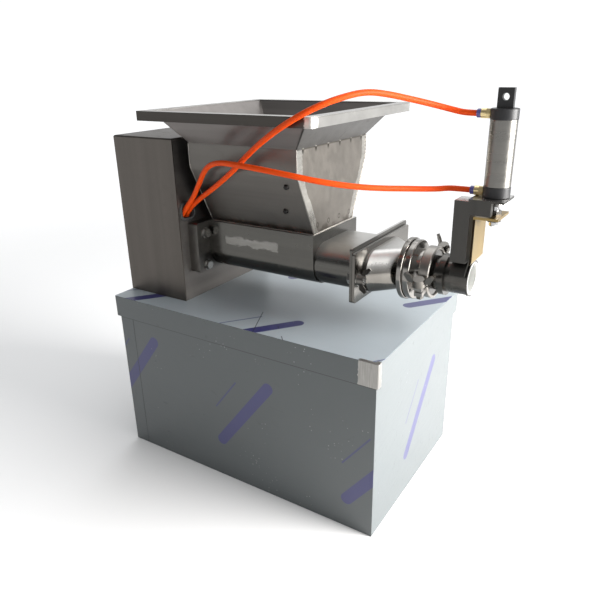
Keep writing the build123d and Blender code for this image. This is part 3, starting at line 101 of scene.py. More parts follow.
class Value:
    """A node's output socket with arithmetic on it: each operator adds one Math node."""

    def __init__(self, book: NodeBook, socket: bpy.types.NodeSocket) -> None:
        """Keeps the socket and the book that its node stands in."""
        self.book = book
        self.socket = socket

    def __add__(self, other: Value | float) -> Value:
        """This value plus another."""
        return self.book.sum("ADD", self, other)

    def __radd__(self, other: float) -> Value:
        """A number plus this value."""
        return self.book.sum("ADD", other, self)

    def __sub__(self, other: Value | float) -> Value:
        """This value less another."""
        return self.book.sum("SUBTRACT", self, other)

    def __rsub__(self, other: float) -> Value:
        """A number less this value."""
        return self.book.sum("SUBTRACT", other, self)

    def __mul__(self, other: Value | float) -> Value:
        """This value times another."""
        return self.book.sum("MULTIPLY", self, other)

    def __rmul__(self, other: float) -> Value:
        """A number times this value."""
        return self.book.sum("MULTIPLY", other, self)

    def __truediv__(self, other: Value | float) -> Value:
        """This value over another."""
        return self.book.sum("DIVIDE", self, other)

    def __pow__(self, other: float) -> Value:
        """This value to a power."""
        return self.book.sum("POWER", self, other)

    def __mod__(self, other: float) -> Value:
        """Floored remainder of this value by a number."""
        return self.book.sum("FLOORED_MODULO", self, other)

    def __abs__(self) -> Value:
        """Size of this value without its sign."""
        return self.book.sum("ABSOLUTE", self)

    def floor(self) -> Value:
        """Next whole number below this value."""
        return self.book.sum("FLOOR", self)

    def least(self, other: Value | float) -> Value:
        """The larger of this value and another, so never under it."""
        return self.book.sum("MAXIMUM", self, other)

    def most(self, other: Value | float) -> Value:
        """The smaller of this value and another, so never over it."""
        return self.book.sum("MINIMUM", self, other)

    def span(self, other: Value) -> Value:
        """Distance that this value and another reach at a right angle."""
        return (self * self + other * other) ** 0.5

    def rise(self, low: float, high: float) -> Value:
        """Smooth step from 0 at low to 1 at high."""
        ends = {"Value": self, "From Min": low, "From Max": high}
        return self.book.out(self.book.node("ShaderNodeMapRange", ends, interpolation_type="SMOOTHSTEP"))

    def fall(self, low: float, high: float) -> Value:
        """Smooth step from 1 at low to 0 at high."""
        return 1.0 - self.rise(low, high)


class NodeBook:
    """A node tree while it is being written."""

    def __init__(self, tree: bpy.types.NodeTree) -> None:
        """Empties the tree of a material or a world and adds its coordinates.

        Args:
            tree: The node tree.
        """
        self.tree = tree
        tree.nodes.clear()
        self.coordinates = self.node("ShaderNodeTexCoord")

    def node(self, kind: str, values: dict[str | int, Any] | None = None, **settings: Any) -> bpy.types.Node:
        """Adds a node: its settings first, then the values or links of its sockets.

        Args:
            kind: Blender's type name of the node.
            values: Socket name or number to a Value, a number, a colour or a vector.
            settings: Properties of the node.

        Returns:
            The new node.
        """
        made = self.tree.nodes.new(kind)
        for key, setting in settings.items():
            setattr(made, key, setting)
        self.fill(made, values or {})
        return made

    def fill(self, made: bpy.types.Node, values: dict[str | int, Any]) -> None:
        """Sets or links sockets of a node.

        Args:
            made: The node.
            values: Socket name or number to a Value, a number, a colour or a vector.
        """
        for key, value in values.items():
            socket = made.inputs[key]
            if isinstance(value, Value):
                self.tree.links.new(value.socket, socket)
            elif isinstance(value, tuple) and socket.type == "RGBA":
                socket.default_value = (*value, 1.0)
            else:
                socket.default_value = value

    def out(self, made: bpy.types.Node, name: str | int = 0) -> Value:
        """One output of a node as a value."""
        return Value(self, made.outputs[name])

    def sum(self, operation: str, *terms: Value | float) -> Value:
        """Adds a Math node with one or two values or numbers."""
        return self.out(self.node("ShaderNodeMath", dict(enumerate(terms)), operation=operation))

    def split(self, name: str) -> Sequence[Value]:
        """X, Y and Z of one of the coordinates."""
        made = self.node("ShaderNodeSeparateXYZ", {"Vector": self.out(self.coordinates, name)})
        return [self.out(made, axis) for axis in range(3)]

    def toward(self, name: str, way: Point) -> Value:
        """Dot product of one of the coordinates and a direction."""
        x, y, z = self.split(name)
        return x * way[0] + y * way[1] + z * way[2]


class Recipe(NodeBook):
    """A material while its nodes are being written."""

    def __init__(self, name: str) -> None:
        """Starts a node tree with a principled shader and its output.

        Args:
            name: Name of the material.
        """
        self.material = bpy.data.materials.new(name)
        self.material.use_nodes = True
        super().__init__(self.material.node_tree)
        self.shader = self.node("ShaderNodeBsdfPrincipled")
        self.node("ShaderNodeOutputMaterial", {"Surface": self.out(self.shader)})

    def axes(self) -> Sequence[Value]:
        """X, Y and Z of the place on the object, in metres, in the frame's axes."""
        return self.split("Object")

    def looks(self, axis: int) -> Value:
        """1 where the surface looks along an axis, either way, else 0."""
        return abs(self.split("Normal")[axis]).rise(*FACING)

    def noise(
        self, scale: float | Point, detail: float = 3.0, rough: float = 0.5, warp: float = 0.0
    ) -> Value:
        """Noise on the place on the object.

        Args:
            scale: Features per metre, alike in all directions or one number an axis.
            detail: Octaves of finer noise.
            rough: Weight of the finer octaves.
            warp: Distortion of the pattern.

        Returns:
            The noise, about 0.5 in the mean.
        """
        scales = scale if isinstance(scale, tuple) else (scale, scale, scale)
        place = self.out(self.coordinates, "Object")
        mapped = self.out(self.node("ShaderNodeMapping", {"Vector": place, "Scale": scales}))
        values = {"Vector": mapped, "Scale": 1.0, "Detail": detail, "Roughness": rough, "Distortion": warp}
        return self.out(self.node("ShaderNodeTexNoise", values))

    def cells(self, scale: float) -> Value:
        """Distance to the nearest of scattered points, in cells, from the number of points per metre."""
        place = self.out(self.coordinates, "Object")
        return self.out(self.node("ShaderNodeTexVoronoi", {"Vector": place, "Scale": scale}))

    def tint(self, share: Value, first: Value | Colour, second: Value | Colour) -> Value:
        """Colour between the first, at share 0, and the second, at share 1."""
        return self.out(self.node("ShaderNodeMix", {0: share, 6: first, 7: second}, data_type="RGBA"), 2)

    def mottle(self, share: Value, tone: Colour, dark: float, pale: float) -> Value:
        """Colour between a dark share of a tone, at 0, and a pale one, at 1."""
        return self.tint(share, *(tuple(min(1.0, part * end) for part in tone) for end in (dark, pale)))

    def relief(self, height: Value, depth: float, strength: float = 1.0) -> None:
        """Gives the shader a bump from a height of 0 to 1 and its depth in metres."""
        values = {"Strength": strength, "Distance": depth, "Height": height}
        self.feed({"Normal": self.out(self.node("ShaderNodeBump", values))})

    def feed(self, values: dict[str, Any]) -> None:
        """Sets or links sockets of the principled shader."""
        self.fill(self.shader, values)


@dataclass(frozen=True)
class Finish(ABC):
    """A surface finish that writes its own material once."""

    name: str

    @abstractmethod
    def write(self, recipe: Recipe) -> None:
        """Writes the finish's nodes into an empty material."""

    def material(self) -> bpy.types.Material:
        """Finds the finish's material, made at its first use.

        Returns:
            The material of the finish's name.
        """
        if self.name not in bpy.data.materials:
            self.write(Recipe(self.name))
        return bpy.data.materials[self.name]


@dataclass(frozen=True)
class SheetMetal(Finish):
    """Brushed, ground or turned metal with streaks, clouds, broad bands and dull finger marks."""

    tone: Colour
    rough: float
    grain: Grain = Grain.TURNED
    streak: float = 0.16
    cloud: float = 0.22
    band_share: float = 0.5
    band_width: float = 16.0
    dark: float = 0.62
    pale: float = 1.38
    depth: float = 0.00004

    def shade(self, recipe: Recipe) -> Shade:
        """Works out the plain metal from four noises; finger marks change its roughness only.

        Args:
            recipe: The material.

        Returns:
            Colour, roughness and relief height.
        """
        broad = tuple(max(2.0, part / self.band_width) for part in self.grain.value)
        streaks = recipe.noise(self.grain.value, rough=0.6) - 0.5
        clouds = recipe.noise(7.0, rough=0.55, warp=0.6) - 0.5
        bands = recipe.noise(broad, 2.0, warp=0.3) - 0.5
        marks = recipe.noise(38.0, 4.0, 0.65, 1.2).rise(0.56, 0.74)
        light = streaks * self.streak + clouds * self.cloud + bands * self.band_share + 0.5
        rough = streaks * 0.14 + clouds * 0.18 + bands * 0.12 + marks * 0.10 + self.rough
        return recipe.mottle(light, self.tone, self.dark, self.pale), rough, streaks

    def write(self, recipe: Recipe) -> None:
        """Writes the metal from its shade.

        Args:
            recipe: The empty material.
        """
        colour, rough, height = self.shade(recipe)
        recipe.feed({"Base Color": colour, "Roughness": rough, "Metallic": 1.0})
        recipe.relief(height, self.depth)


@dataclass(frozen=True)
class HopperSheet(SheetMetal):
    """Brushed hopper sheet with burnt weld traces at waist and foot and polished bands beside its corners."""

    waist: float = 0.566
    foot: float = 0.434
    foot_half: float = 0.062
    waist_half: float = 0.107
    slope: float = 0.469
    band: float = 0.016
    band_edge: Edges = (-0.0012, 0.0012)
    tack_pitch: float = 0.036
    tack_half: Edges = (0.0012, 0.0036)
    tack_drop: Edges = (0.003, 0.010)
    seam_drop: Edges = (0.0006, 0.0030)
    stain_height: Edges = (0.004, 0.016)
    plug_pitch: float = 0.034
    plug_height: float = 0.013
    plug_radius: float = 0.0034
    plug_wall: Edges = (0.0005, 0.0013)
    # Tone that both ends are tinted towards: painted light that makes the end facing the key lighter than the
    # sides.
    ground: Tones = ((0.19, 0.162, 0.128), (0.36, 0.325, 0.28))
    buffed: Tones = ((0.34, 0.32, 0.28), (0.66, 0.64, 0.60))
    burnt: Colour = (0.035, 0.029, 0.023)

    def shade(self, recipe: Recipe) -> Shade:
        """Adds weld traces to the plain metal.

        Burnt are tacks a pitch apart under the waist, the waist's seam, a stain above the foot and rings
        of plug welds. On both ends a band beside each corner weld is polished: where half the end's width
        at a height, less the distance from its middle, is under a noisy limit.

        Args:
            recipe: The material.

        Returns:
            Colour, roughness and relief height.
        """
        colour, rough, height = super().shade(recipe)
        _, y, z = recipe.axes()
        on_end = recipe.looks(0)
        below, above = self.waist - z, z - self.foot
        tack = abs(y % self.tack_pitch - self.tack_pitch / 2).fall(*self.tack_half)
        tack = tack * below.fall(*self.tack_drop) * on_end
        seam = below.fall(*self.seam_drop) * (on_end * 0.6 + 0.1)
        stain = above.fall(*self.stain_height) * recipe.noise(60.0).rise(0.40, 0.62) * 0.7
        ring = (abs(y) % self.plug_pitch - self.plug_pitch / 2).span(above - self.plug_height)
        plug = abs(ring - self.plug_radius).fall(*self.plug_wall) * on_end * 0.7
        half = (above * self.slope + self.foot_half).most(self.waist_half)
        limit = recipe.noise(26.0, rough=0.6, warp=0.8) * self.band + self.band * 0.4
        polished = (half - abs(y) - limit).fall(*self.band_edge) * on_end
        ground = recipe.tint(recipe.noise(90.0), *self.ground)
        buffed = recipe.tint(recipe.noise((40.0, 40.0, 160.0)), *self.buffed)
        # Painted light: both ends tinted towards the paler ground tone; polished bands and weld traces go
        # over it.
        colour = recipe.tint(polished * 0.75, recipe.tint(on_end * 0.28, colour, ground), buffed)
        colour = recipe.tint(tack.least(seam).least(stain).least(plug), colour, self.burnt)
        return colour, rough + stain * 0.15 - polished * 0.10, height


@dataclass(frozen=True)
class PaintedFacingSheet(SheetMetal):
    """Metal with a second tone painted where it faces up, or towards another given direction: a painted
    highlight where that tone is paler, painted shade where it is darker.
    """

    # Tone of the painted light: paler for a highlight, darker for the funnel's shade.
    bright: Colour = (0.62, 0.61, 0.59)
    gloss: float = 0.16
    lift: Edges = (0.80, 0.95)
    way: Point = (0.0, 0.0, 1.0)

    def shade(self, recipe: Recipe) -> Shade:
        """Gives faces that look the given way the second tone as painted light, broken up by noise.

        Args:
            recipe: The material.

        Returns:
            Colour, roughness and relief height.
        """
        colour, rough, height = super().shade(recipe)
        painted_facing_share = recipe.toward("Normal", self.way).rise(*self.lift)
        # Noise that breaks up the painted light, not wear.
        worn = recipe.noise(60.0) * 0.25 + 0.75
        return recipe.tint(painted_facing_share * worn, colour, self.bright), rough - painted_facing_share * self.gloss, height


@dataclass(frozen=True)
class PatchedSheet(PaintedFacingSheet):
    """Sheet with a second tone painted where it faces a given way, and one ground patch."""

    patch_low: Point = (-0.072, -1.0, 0.398)
    patch_high: Point = (0.034, -0.060, 0.411)
    patch: Tones = ((0.20, 0.195, 0.18), (0.34, 0.33, 0.31))
    patch_edge: float = 0.003
    patch_ragged: float = 0.014

    def shade(self, recipe: Recipe) -> Shade:
        """Adds the ground patch: a box with ragged edges, lighter and rougher than the metal round it; on the
        rim it also holds a painted highlight.

        Args:
            recipe: The material.

        Returns:
            Colour, roughness and relief height.
        """
        colour, rough, height = super().shade(recipe)
        ragged = (recipe.noise((60.0, 60.0, 140.0), rough=0.6) - 0.5) * self.patch_ragged
        inside: Value | float = 1.0
        for axis, low, high in zip(recipe.axes(), self.patch_low, self.patch_high):
            place = axis + ragged
            inside = place.rise(low, low + self.patch_edge) * inside
            inside = place.fall(high, high + self.patch_edge) * inside
        ground = recipe.tint(recipe.noise((30.0, 200.0, 200.0)), *self.patch)
        return recipe.tint(inside * 0.8, colour, ground), rough + inside * 0.16, height


@dataclass(frozen=True)
class KnifePlate(SheetMetal):
    """Brass-coloured knife plate whose blade edges carry painted shade."""

    fold: float = 0.478
    fold_edge: float = 0.0006
    fold_dark_drop: float = 0.012
    # Dark tone of the painted shade on the blade's edges and of the darkening under the fold.
    burnt: Colour = (0.022, 0.016, 0.010)

    def shade(self, recipe: Recipe) -> Shade:
        """Darkens the blade's two cut edges with painted shade and darkens its face just under the fold in
        noisy patches.

        Args:
            recipe: The material.

        Returns:
            Colour, roughness and relief height.
        """
        colour, rough, height = super().shade(recipe)
        z = recipe.axes()[2]
        blade = z.fall(self.fold - self.fold_edge, self.fold)
        # Painted shade on the blade's edges.
        cut = recipe.looks(1) * blade
        # Darker just under the fold, broken by noise.
        stain = z.rise(self.fold - self.fold_dark_drop, self.fold) * blade * 0.5
        stain = stain * recipe.noise(90.0).rise(0.35, 0.60)
        return recipe.tint(cut.least(stain), colour, self.burnt), rough + cut * 0.2, height


@dataclass(frozen=True)
class CladFilm(Finish):
    """Pale protective film on steel, printed with slanted bars; a torn corner can show bare metal."""

    film: Colour = (0.091, 0.106, 0.110)
    ink: Colour = (0.030, 0.030, 0.120)
    scuffed: Colour = (0.07, 0.075, 0.08)
    # Painted shade: the tone that film faces turned from the key light are darkened towards.
    away: Colour = (0.010, 0.011, 0.010)
    # Pale top layer: partly dusting, partly a painted sheen that lightens top faces.
    dust_and_sheen: Colour = (0.43, 0.485, 0.525)
    speck: Colour = (0.42, 0.44, 0.45)
    # Dark lines: a painted shadow under the lid's skirt, the seam between panels and scratches.
    shadow_and_gap: Colour = (0.012, 0.012, 0.014)
    bare: Tones = ((0.15, 0.145, 0.135), (0.44, 0.43, 0.41))
    # Share of that painted shade.
    dim: float = 0.36
    dust_and_sheen_share: float = 0.0
    slant: float = 52.0
    shift: tuple[float, float] = (0.06, 0.03)
    bar_pitch: float = 0.36
    row_pitch: float = 0.205
    row_shift: float = 0.37
    bar_half: float = 0.082
    bar_radius: float = 0.0098
    bar_edge: Edges = (-0.0005, 0.0005)
    line_aside: float = 0.046
    line_half: Edges = (0.0011, 0.0017)
    line_end: Edges = (0.45, 0.46)
    torn_x: float = 9.0
    torn_y: float = -9.0
    torn_ragged: float = 0.006
    edge_x: float = 0.258
    edge_y: float = -0.163
    edge_width: float = 0.007
    sharp: float = 0.0006
    lid_foot: float = 0.262
    lid_shadow: Edges = (-0.0048, -0.0030)
    seam_x: float = -0.2233
    seam_half: Edges = (0.0004, 0.0010)
    cuts: tuple[tuple[float, float, float, float], ...] = ()
    cut_half: float = 0.0010

    def inked(self, recipe: Recipe) -> Value:
        """Lays the print flat on each face.

        A bar is the set of points within bar_radius of a straight stretch of twice bar_half, on a slanted
        grid whose rows are shifted by a share of the pitch. A thin line runs beside each bar.

        Args:
            recipe: The material.

        Returns:
            Share of ink.
        """
        x, y, z = recipe.axes()
        on_side, on_top = recipe.looks(0), recipe.looks(2)
        across = x * (1.0 - on_side) + y * on_side
        up = z * (1.0 - on_top) + y * on_top
        cos, sin = math.cos(math.radians(self.slant)), math.sin(math.radians(self.slant))
        along = across * cos + up * sin + self.shift[0]
        aside = up * cos - across * sin + self.shift[1]
        row = (aside / self.row_pitch).floor()
        place = abs((along + row * (self.row_shift * self.bar_pitch)) % self.bar_pitch - self.bar_pitch / 2)
        off = aside % self.row_pitch - self.row_pitch / 2
        reach = (place - self.bar_half).least(0.0).span(off) - self.bar_radius
        bar = reach.fall(*self.bar_edge)
        line = abs(off - self.line_aside).fall(*self.line_half) * 0.8
        line = line * (place / self.bar_half).fall(*self.line_end)
        return bar.least(line) * (0.9 + recipe.noise(160.0, 2.0) * 0.2)

    def cut(self, recipe: Recipe, run: tuple[float, float, float, float]) -> Value:
        """Nearness to a straight scratch seen from above: distance to the stretch between its two ends.

        Args:
            recipe: The material.
            run: X and Y of both ends.

        Returns:
            1 on the scratch, 0 off it.
        """
        x, y, _ = recipe.axes()
        start_x, start_y, end_x, end_y = run
        run_x, run_y = end_x - start_x, end_y - start_y
        share = ((x - start_x) * run_x + (y - start_y) * run_y) / (run_x * run_x + run_y * run_y)
        share = share.least(0.0).most(1.0)
        off = (x - start_x - share * run_x).span(y - start_y - share * run_y)
        return off.fall(0.5 * self.cut_half, self.cut_half)

    def shadow_and_gaps(self, recipe: Recipe) -> Value:
        """Dark lines: a painted shadow under the lid's skirt, the front's seam below it and scratches on top.

        Args:
            recipe: The material.

        Returns:
            1 on a line, 0 off it.
        """
        x, _, z = recipe.axes()
        # Painted shadow under the lid's skirt.
        shadow = (z - self.lid_foot).rise(*self.lid_shadow) * 0.9
        seam = abs(x - self.seam_x).fall(*self.seam_half) * (1.0 - recipe.looks(0))
        lines = shadow.least(seam) * z.fall(self.lid_foot - self.sharp, self.lid_foot)
        for run in self.cuts:
            lines = lines.least(self.cut(recipe, run) * recipe.looks(2) * 0.85)
        return lines

    def torn(self, recipe: Recipe) -> Value:
        """Torn corner: past both limits with a ragged edge, on top only along the rim.

        Args:
            recipe: The material.

        Returns:
            1 where the metal is bare, 0 under film.
        """
        x, y, _ = recipe.axes()
        ragged = recipe.noise(120.0) * self.torn_ragged
        past_x = (x + ragged).rise(self.torn_x, self.torn_x + self.sharp)
        past_y = (y + ragged).fall(self.torn_y, self.torn_y + self.sharp)
        rim = (x - self.edge_x + self.edge_width).rise(0.0, self.sharp)
        rim = rim.least((y - self.edge_y).fall(0.8 * self.edge_width, 0.8 * self.edge_width + self.sharp))
        return past_x * past_y * (1.0 - recipe.looks(2) * (1.0 - rim))

    def write(self, recipe: Recipe) -> None:
        """Lays clouds, scuffs, painted shade on faces turned from the key, a pale top layer of dusting and
        painted sheen, the print, dark lines with a painted shadow among them and the torn corner over each
        other.

        Args:
            recipe: The empty material.
        """
        on_top = recipe.looks(2)
        # Painted shade: faces that do not look towards the key at +X, tops left out, are darkened.
        painted_shade_mask = recipe.split("Normal")[0].fall(0.5, 0.8) * (1.0 - on_top)
        clouds = recipe.noise(4.0, warp=0.4)
        creases = recipe.noise((11.0, 11.0, 30.0), 4.0, 0.62, 2.2)
        scuffs = recipe.noise((30.0, 240.0, 60.0), rough=0.6, warp=0.8).rise(0.66, 0.72)
        specks = recipe.cells(130.0).fall(0.06, 0.16) * recipe.noise(16.0, 2.0).rise(0.56, 0.66)
        scratches = recipe.noise((700.0, 700.0, 30.0), rough=0.6)
        torn = self.torn(recipe)
        colour = recipe.mottle(clouds, self.film, 0.86, 1.10)
        for share, tone in (
            (scuffs * 0.35, self.scuffed),
            # painted shade on faces turned from the key
            (painted_shade_mask * self.dim, self.away),
            # top faces lightened: partly dusting, partly painted sheen
            (on_top * (clouds * 0.5 + 0.7) * self.dust_and_sheen_share, self.dust_and_sheen),
            (self.inked(recipe), self.ink),
            (specks * 0.45, self.speck),
            (self.shadow_and_gaps(recipe), self.shadow_and_gap),
            (torn, recipe.tint(scratches, *self.bare)),
        ):
            colour = recipe.tint(share, colour, tone)
        recipe.feed(
            {
                "Base Color": colour,
                "Roughness": (clouds - 0.5) * 0.12 + scuffs * 0.15 + specks * 0.2 + 0.38,
                "Metallic": torn * 0.95,
                "Coat Weight": (1.0 - torn) * 0.35,
                "Coat Roughness": 0.22,
            }
        )
        recipe.relief(creases * 0.75 + scratches * torn * 0.3 + (1.0 - torn) * 0.1, 0.0011, 0.35)


@dataclass(frozen=True)
class Coating(Finish):
    """Plastic, rubber, paint, anodising or casting skin: a fine grain, soft clouds and worn high spots."""

    tone: Colour
    rough: float
    grain: float = 900.0
    depth: float = 0.00005
    metallic: float = 0.0
    coat: float = 0.0
    wear: float = 0.12
    clear: float = 0.0
    gloss: float = 0.5

    def write(self, recipe: Recipe) -> None:
        """Writes the skin from a fine and two coarser noises.

        Args:
            recipe: The empty material.
        """
        fine = recipe.noise(self.grain, 2.0, 0.6)
        clouds = recipe.noise(22.0, rough=0.55, warp=0.5)
        worn = recipe.noise(70.0, 4.0, 0.7, 0.8).rise(0.58, 0.78) * self.wear
        colour = recipe.mottle(clouds * 0.7 + fine * 0.3, self.tone, 0.74, 1.22)
        rubbed = tuple(min(1.0, 0.10 + 1.3 * part) for part in self.tone)
        recipe.feed(
            {
                "Base Color": recipe.tint(worn, colour, rubbed),
                "Roughness": (clouds - 0.5) * 0.16 + worn * 0.3 + self.rough,
                "Metallic": self.metallic,
                "Coat Weight": self.coat,
                "Specular IOR Level": self.gloss,
                "Subsurface Weight": self.clear,
                "Subsurface Scale": 0.002,
            }
        )
        recipe.relief(fine, self.depth)


class Finishes:
    """All finishes of the machine."""

    film = CladFilm("printed_film")
    lid_film = CladFilm(
        "printed_film_torn_corner",
        # partly dusting, partly painted sheen on the lid's top
        dust_and_sheen_share=0.71,
        torn_x=0.2295,
        torn_y=-0.150,
        cuts=(
            (0.0157, -0.0921, 0.0486, -0.1660),
            (0.0684, -0.1257, 0.0740, -0.1320),
            (0.0940, -0.1540, 0.1020, -0.1630),
        ),
    )
    housing = SheetMetal("housing_sheet", (0.108, 0.097, 0.087), 0.38, Grain.UPRIGHT)
    bulkhead = SheetMetal("bulkhead_plate", (0.15, 0.141, 0.133), 0.42, Grain.ACROSS)
    block = SheetMetal("block_plate", (0.130, 0.124, 0.116), 0.33, Grain.ACROSS)
    gear = SheetMetal("gear_steel", (0.22, 0.22, 0.22), 0.35, Grain.ALONG)
    hopper = HopperSheet("hopper_sheet", (0.132, 0.124, 0.114), 0.37, Grain.ALONG)
    # Funnel: its second tone is darker, painted shade on faces that look right and down under the rim.
    funnel = PaintedFacingSheet(
        "funnel_sheet", (0.22, 0.203, 0.192), 0.34, Grain.ALONG,
        bright=(0.062, 0.060, 0.056), gloss=0.0, lift=(0.60, 0.90), way=(0.7, 0.0, -0.7),
    )
    # Rim: painted highlight on faces that look up and to +X over a dark tone; the pale patch at the
    # near-right corner is a ground weld with a painted highlight on it.
    rim = PatchedSheet(
        "rim_sheet", (0.058, 0.053, 0.048), 0.33, Grain.ALONG,
        bright=(0.44, 0.43, 0.41), gloss=0.0, lift=(0.30, 0.80), way=(1.0, 0.0, 1.0),
        patch_low=(0.1400, -1.0, 0.0), patch_high=(1.0, -0.144, 1.0),
        patch=((0.44, 0.425, 0.39), (0.74, 0.72, 0.675)),
    )
    # Trough: painted highlight on faces that look up.
    trough = PatchedSheet(
        "trough_sheet", (0.104, 0.101, 0.093), 0.22, Grain.ALONG, gloss=-0.16, lift=(0.25, 0.85)
    )
    # Cone: painted highlight and reflection on faces that look up and slightly to +X.
    cone = PaintedFacingSheet(
        "cone_polish", (0.15, 0.142, 0.130), 0.12, gloss=-0.25, lift=(0.35, 0.85), way=(0.40, 0.0, 1.0)
    )
    # Bracket: painted highlight on faces that look up.
    bracket = PaintedFacingSheet("bracket_plate", (0.062, 0.060, 0.056), 0.40, Grain.UPRIGHT)
    knife = KnifePlate("ground_knife_brass", (0.26, 0.185, 0.075), 0.36, Grain.UPRIGHT, cloud=0.35)
    turned = SheetMetal("turned_steel", (0.26, 0.246, 0.229), 0.18)
    wing = SheetMetal("wing_nut_casting", (0.14, 0.132, 0.120), 0.30, cloud=0.4)
    tube = SheetMetal("tube_polish", (0.078, 0.074, 0.068), 0.20)
    clamp = SheetMetal("clamp_casting", (0.27, 0.255, 0.235), 0.34)
    fastener = SheetMetal("fastener_steel", (0.34, 0.332, 0.318), 0.25)
    dark_bolt = SheetMetal("blackened_bolts", (0.035, 0.034, 0.033), 0.45)
    weld = SheetMetal("weld_metal", (0.21, 0.198, 0.182), 0.28, cloud=0.5)
    brass = SheetMetal("fitting_brass", (0.45, 0.33, 0.14), 0.24, cloud=0.4)
    screw = SheetMetal("screw_steel", (0.26, 0.25, 0.235), 0.28)
    barrel = SheetMetal("barrel_tube", (0.17, 0.164, 0.152), 0.30, Grain.TURNED_UPRIGHT, 0.08)
    rod = SheetMetal("rod_chrome", (0.50, 0.50, 0.50), 0.12, Grain.TURNED_UPRIGHT, 0.05)
    black_alloy = Coating("black_anodised", (0.012, 0.012, 0.013), 0.42, metallic=0.3, wear=0.08)
    alloy = Coating("valve_alloy", (0.42, 0.43, 0.44), 0.4, metallic=0.9)
    frame = Coating("frame_primer", (0.20, 0.215, 0.23), 0.6)
    casting = Coating("casting_paint", (0.16, 0.18, 0.20), 0.5, grain=260.0, depth=0.0003)
    motor = Coating("motor_enamel", (0.12, 0.18, 0.27), 0.4, grain=300.0, depth=0.0002)
    hose = Coating("orange_hose", (0.62, 0.058, 0.003), 0.50, wear=0.02, clear=0.12, gloss=0.14)
    collar = Coating("blue_collar", (0.075, 0.070, 0.24), 0.34)
    rubber = Coating("black_rubber", (0.022, 0.021, 0.021), 0.75, wear=0.2)
    sleeve = Coating("white_sleeve", (0.60, 0.605, 0.585), 0.42, wear=0.02)
    black_plastic = Coating("black_plastic", (0.03, 0.03, 0.033), 0.45, grain=1600.0)
    grey_plastic = Coating("grey_plastic", (0.19, 0.20, 0.21), 0.5, grain=1600.0)
    green_plastic = Coating("green_plastic", (0.03, 0.33, 0.07), 0.3, coat=0.3, wear=0.04)
    red_plastic = Coating("red_plastic", (0.58, 0.025, 0.02), 0.3, coat=0.3, wear=0.04)
    mark = Coating("dial_mark", (0.72, 0.72, 0.70), 0.5, wear=0.05)


@dataclass
class Surface:
    """A closed piece: points, one row each, and faces in blocks of equally many corners."""

    points: np.ndarray
    faces: list[np.ndarray]

    def place(
        self, name: str, finish: Finish, slot: str, body: Body = Body.MACHINE, smooth: bool = True
    ) -> None:
        """Makes the piece's object, dresses it and lets it ride.

        Args:
            name: Name of the piece.
            finish: Its finish.
            slot: The record's material slot; not used.
            body: The body that carries it.
            smooth: Whether its faces are shaded smooth.
        """
        mesh = bpy.data.meshes.new(name)
        mesh.from_pydata(self.points.tolist(), [], [face for block in self.faces for face in block.tolist()])
        mesh.polygons.foreach_set("use_smooth", np.full(len(mesh.polygons), smooth))
        mesh.update()
        mesh.materials.append(finish.material())
        piece = bpy.data.objects.new(name, mesh)
        bpy.context.scene.collection.objects.link(piece)
        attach(piece, body.value)
        LOG.info("%s: %d faces", name, len(mesh.polygons))


def merged(parts: Iterable[Surface]) -> Surface:
    """One surface of several, the faces of each numbered on from the points before it.

    Args:
        parts: The closed shapes.

    Returns:
        All of them.
    """
    shapes = list(parts)
    starts = np.cumsum([0] + [len(shape.points) for shape in shapes])
    faces = [block + start for shape, start in zip(shapes, starts) for block in shape.faces]
    return Surface(np.vstack([shape.points for shape in shapes]), faces)


def quads(rows: int, columns: int, closed: bool = False) -> np.ndarray:
    """Faces between rings of points, each ring closed on itself.

    Args:
        rows: Number of rings.
        columns: Points in a ring.
        closed: Whether the last ring joins the first.

    Returns:
        Four corners a face, one row each.
    """
    row = np.arange(rows if closed else rows - 1)[:, None]
    column = np.arange(columns)[None, :]
    after, beside = (row + 1) % rows * columns, (column + 1) % columns
    corners = row * columns + column, row * columns + beside, after + beside, after + column
    return np.stack(corners, -1).reshape(-1, 4)


def stack(rows: int, columns: int) -> list[np.ndarray]:
    """Faces of a stack of rings with both ends filled."""
    end = np.arange(columns)[None, :]
    return [quads(rows, columns), end[:, ::-1], end + (rows - 1) * columns]


def turns(steps: int) -> np.ndarray:
    """Angles of a whole turn in equal steps, its end left out."""
    return np.linspace(0, 2 * np.pi, steps, endpoint=False)


def unit(rows: np.ndarray) -> np.ndarray:
    """Rows brought to length 1."""
    return rows / np.linalg.norm(rows, axis=1, keepdims=True)


def run(start: Point, end: Point, step: float = 0.4 * MM) -> np.ndarray:
    """Points about a step apart on a straight run, both ends among them."""
    return np.linspace(start, end, int(math.dist(start, end) / step))


def tube(
    path: np.ndarray, radius: np.ndarray | float, lift: Point, sides: int = 8, closed: bool = False
) -> Surface:
    """Circle carried along a path.

    The point at step i and angle a is path[i] + radius[i] * (cos a * side + sin a * up), where side is
    square to the path and to the lift direction, and up is square to both.

    Args:
        path: Points of the path, one row each.
        radius: Radius at each point, or one for all.
        lift: A direction that the path never runs along.
        sides: Points round the circle.
        closed: Whether the path is a loop.

    Returns:
        The tube, its ends filled.
    """
    ahead = np.roll(path, -1, 0) - np.roll(path, 1, 0) if closed else np.gradient(path, axis=0)
    side = unit(np.cross(ahead, lift))
    up = unit(np.cross(side, ahead))
    angle = turns(sides)[None, :, None]
    reach = np.broadcast_to(radius, (len(path),))[:, None, None]
    ring = np.cos(angle) * side[:, None, :] + np.sin(angle) * up[:, None, :]
    faces = [quads(len(path), sides, True)] if closed else stack(len(path), sides)
    return Surface((path[:, None, :] + reach * ring).reshape(-1, 3), faces)


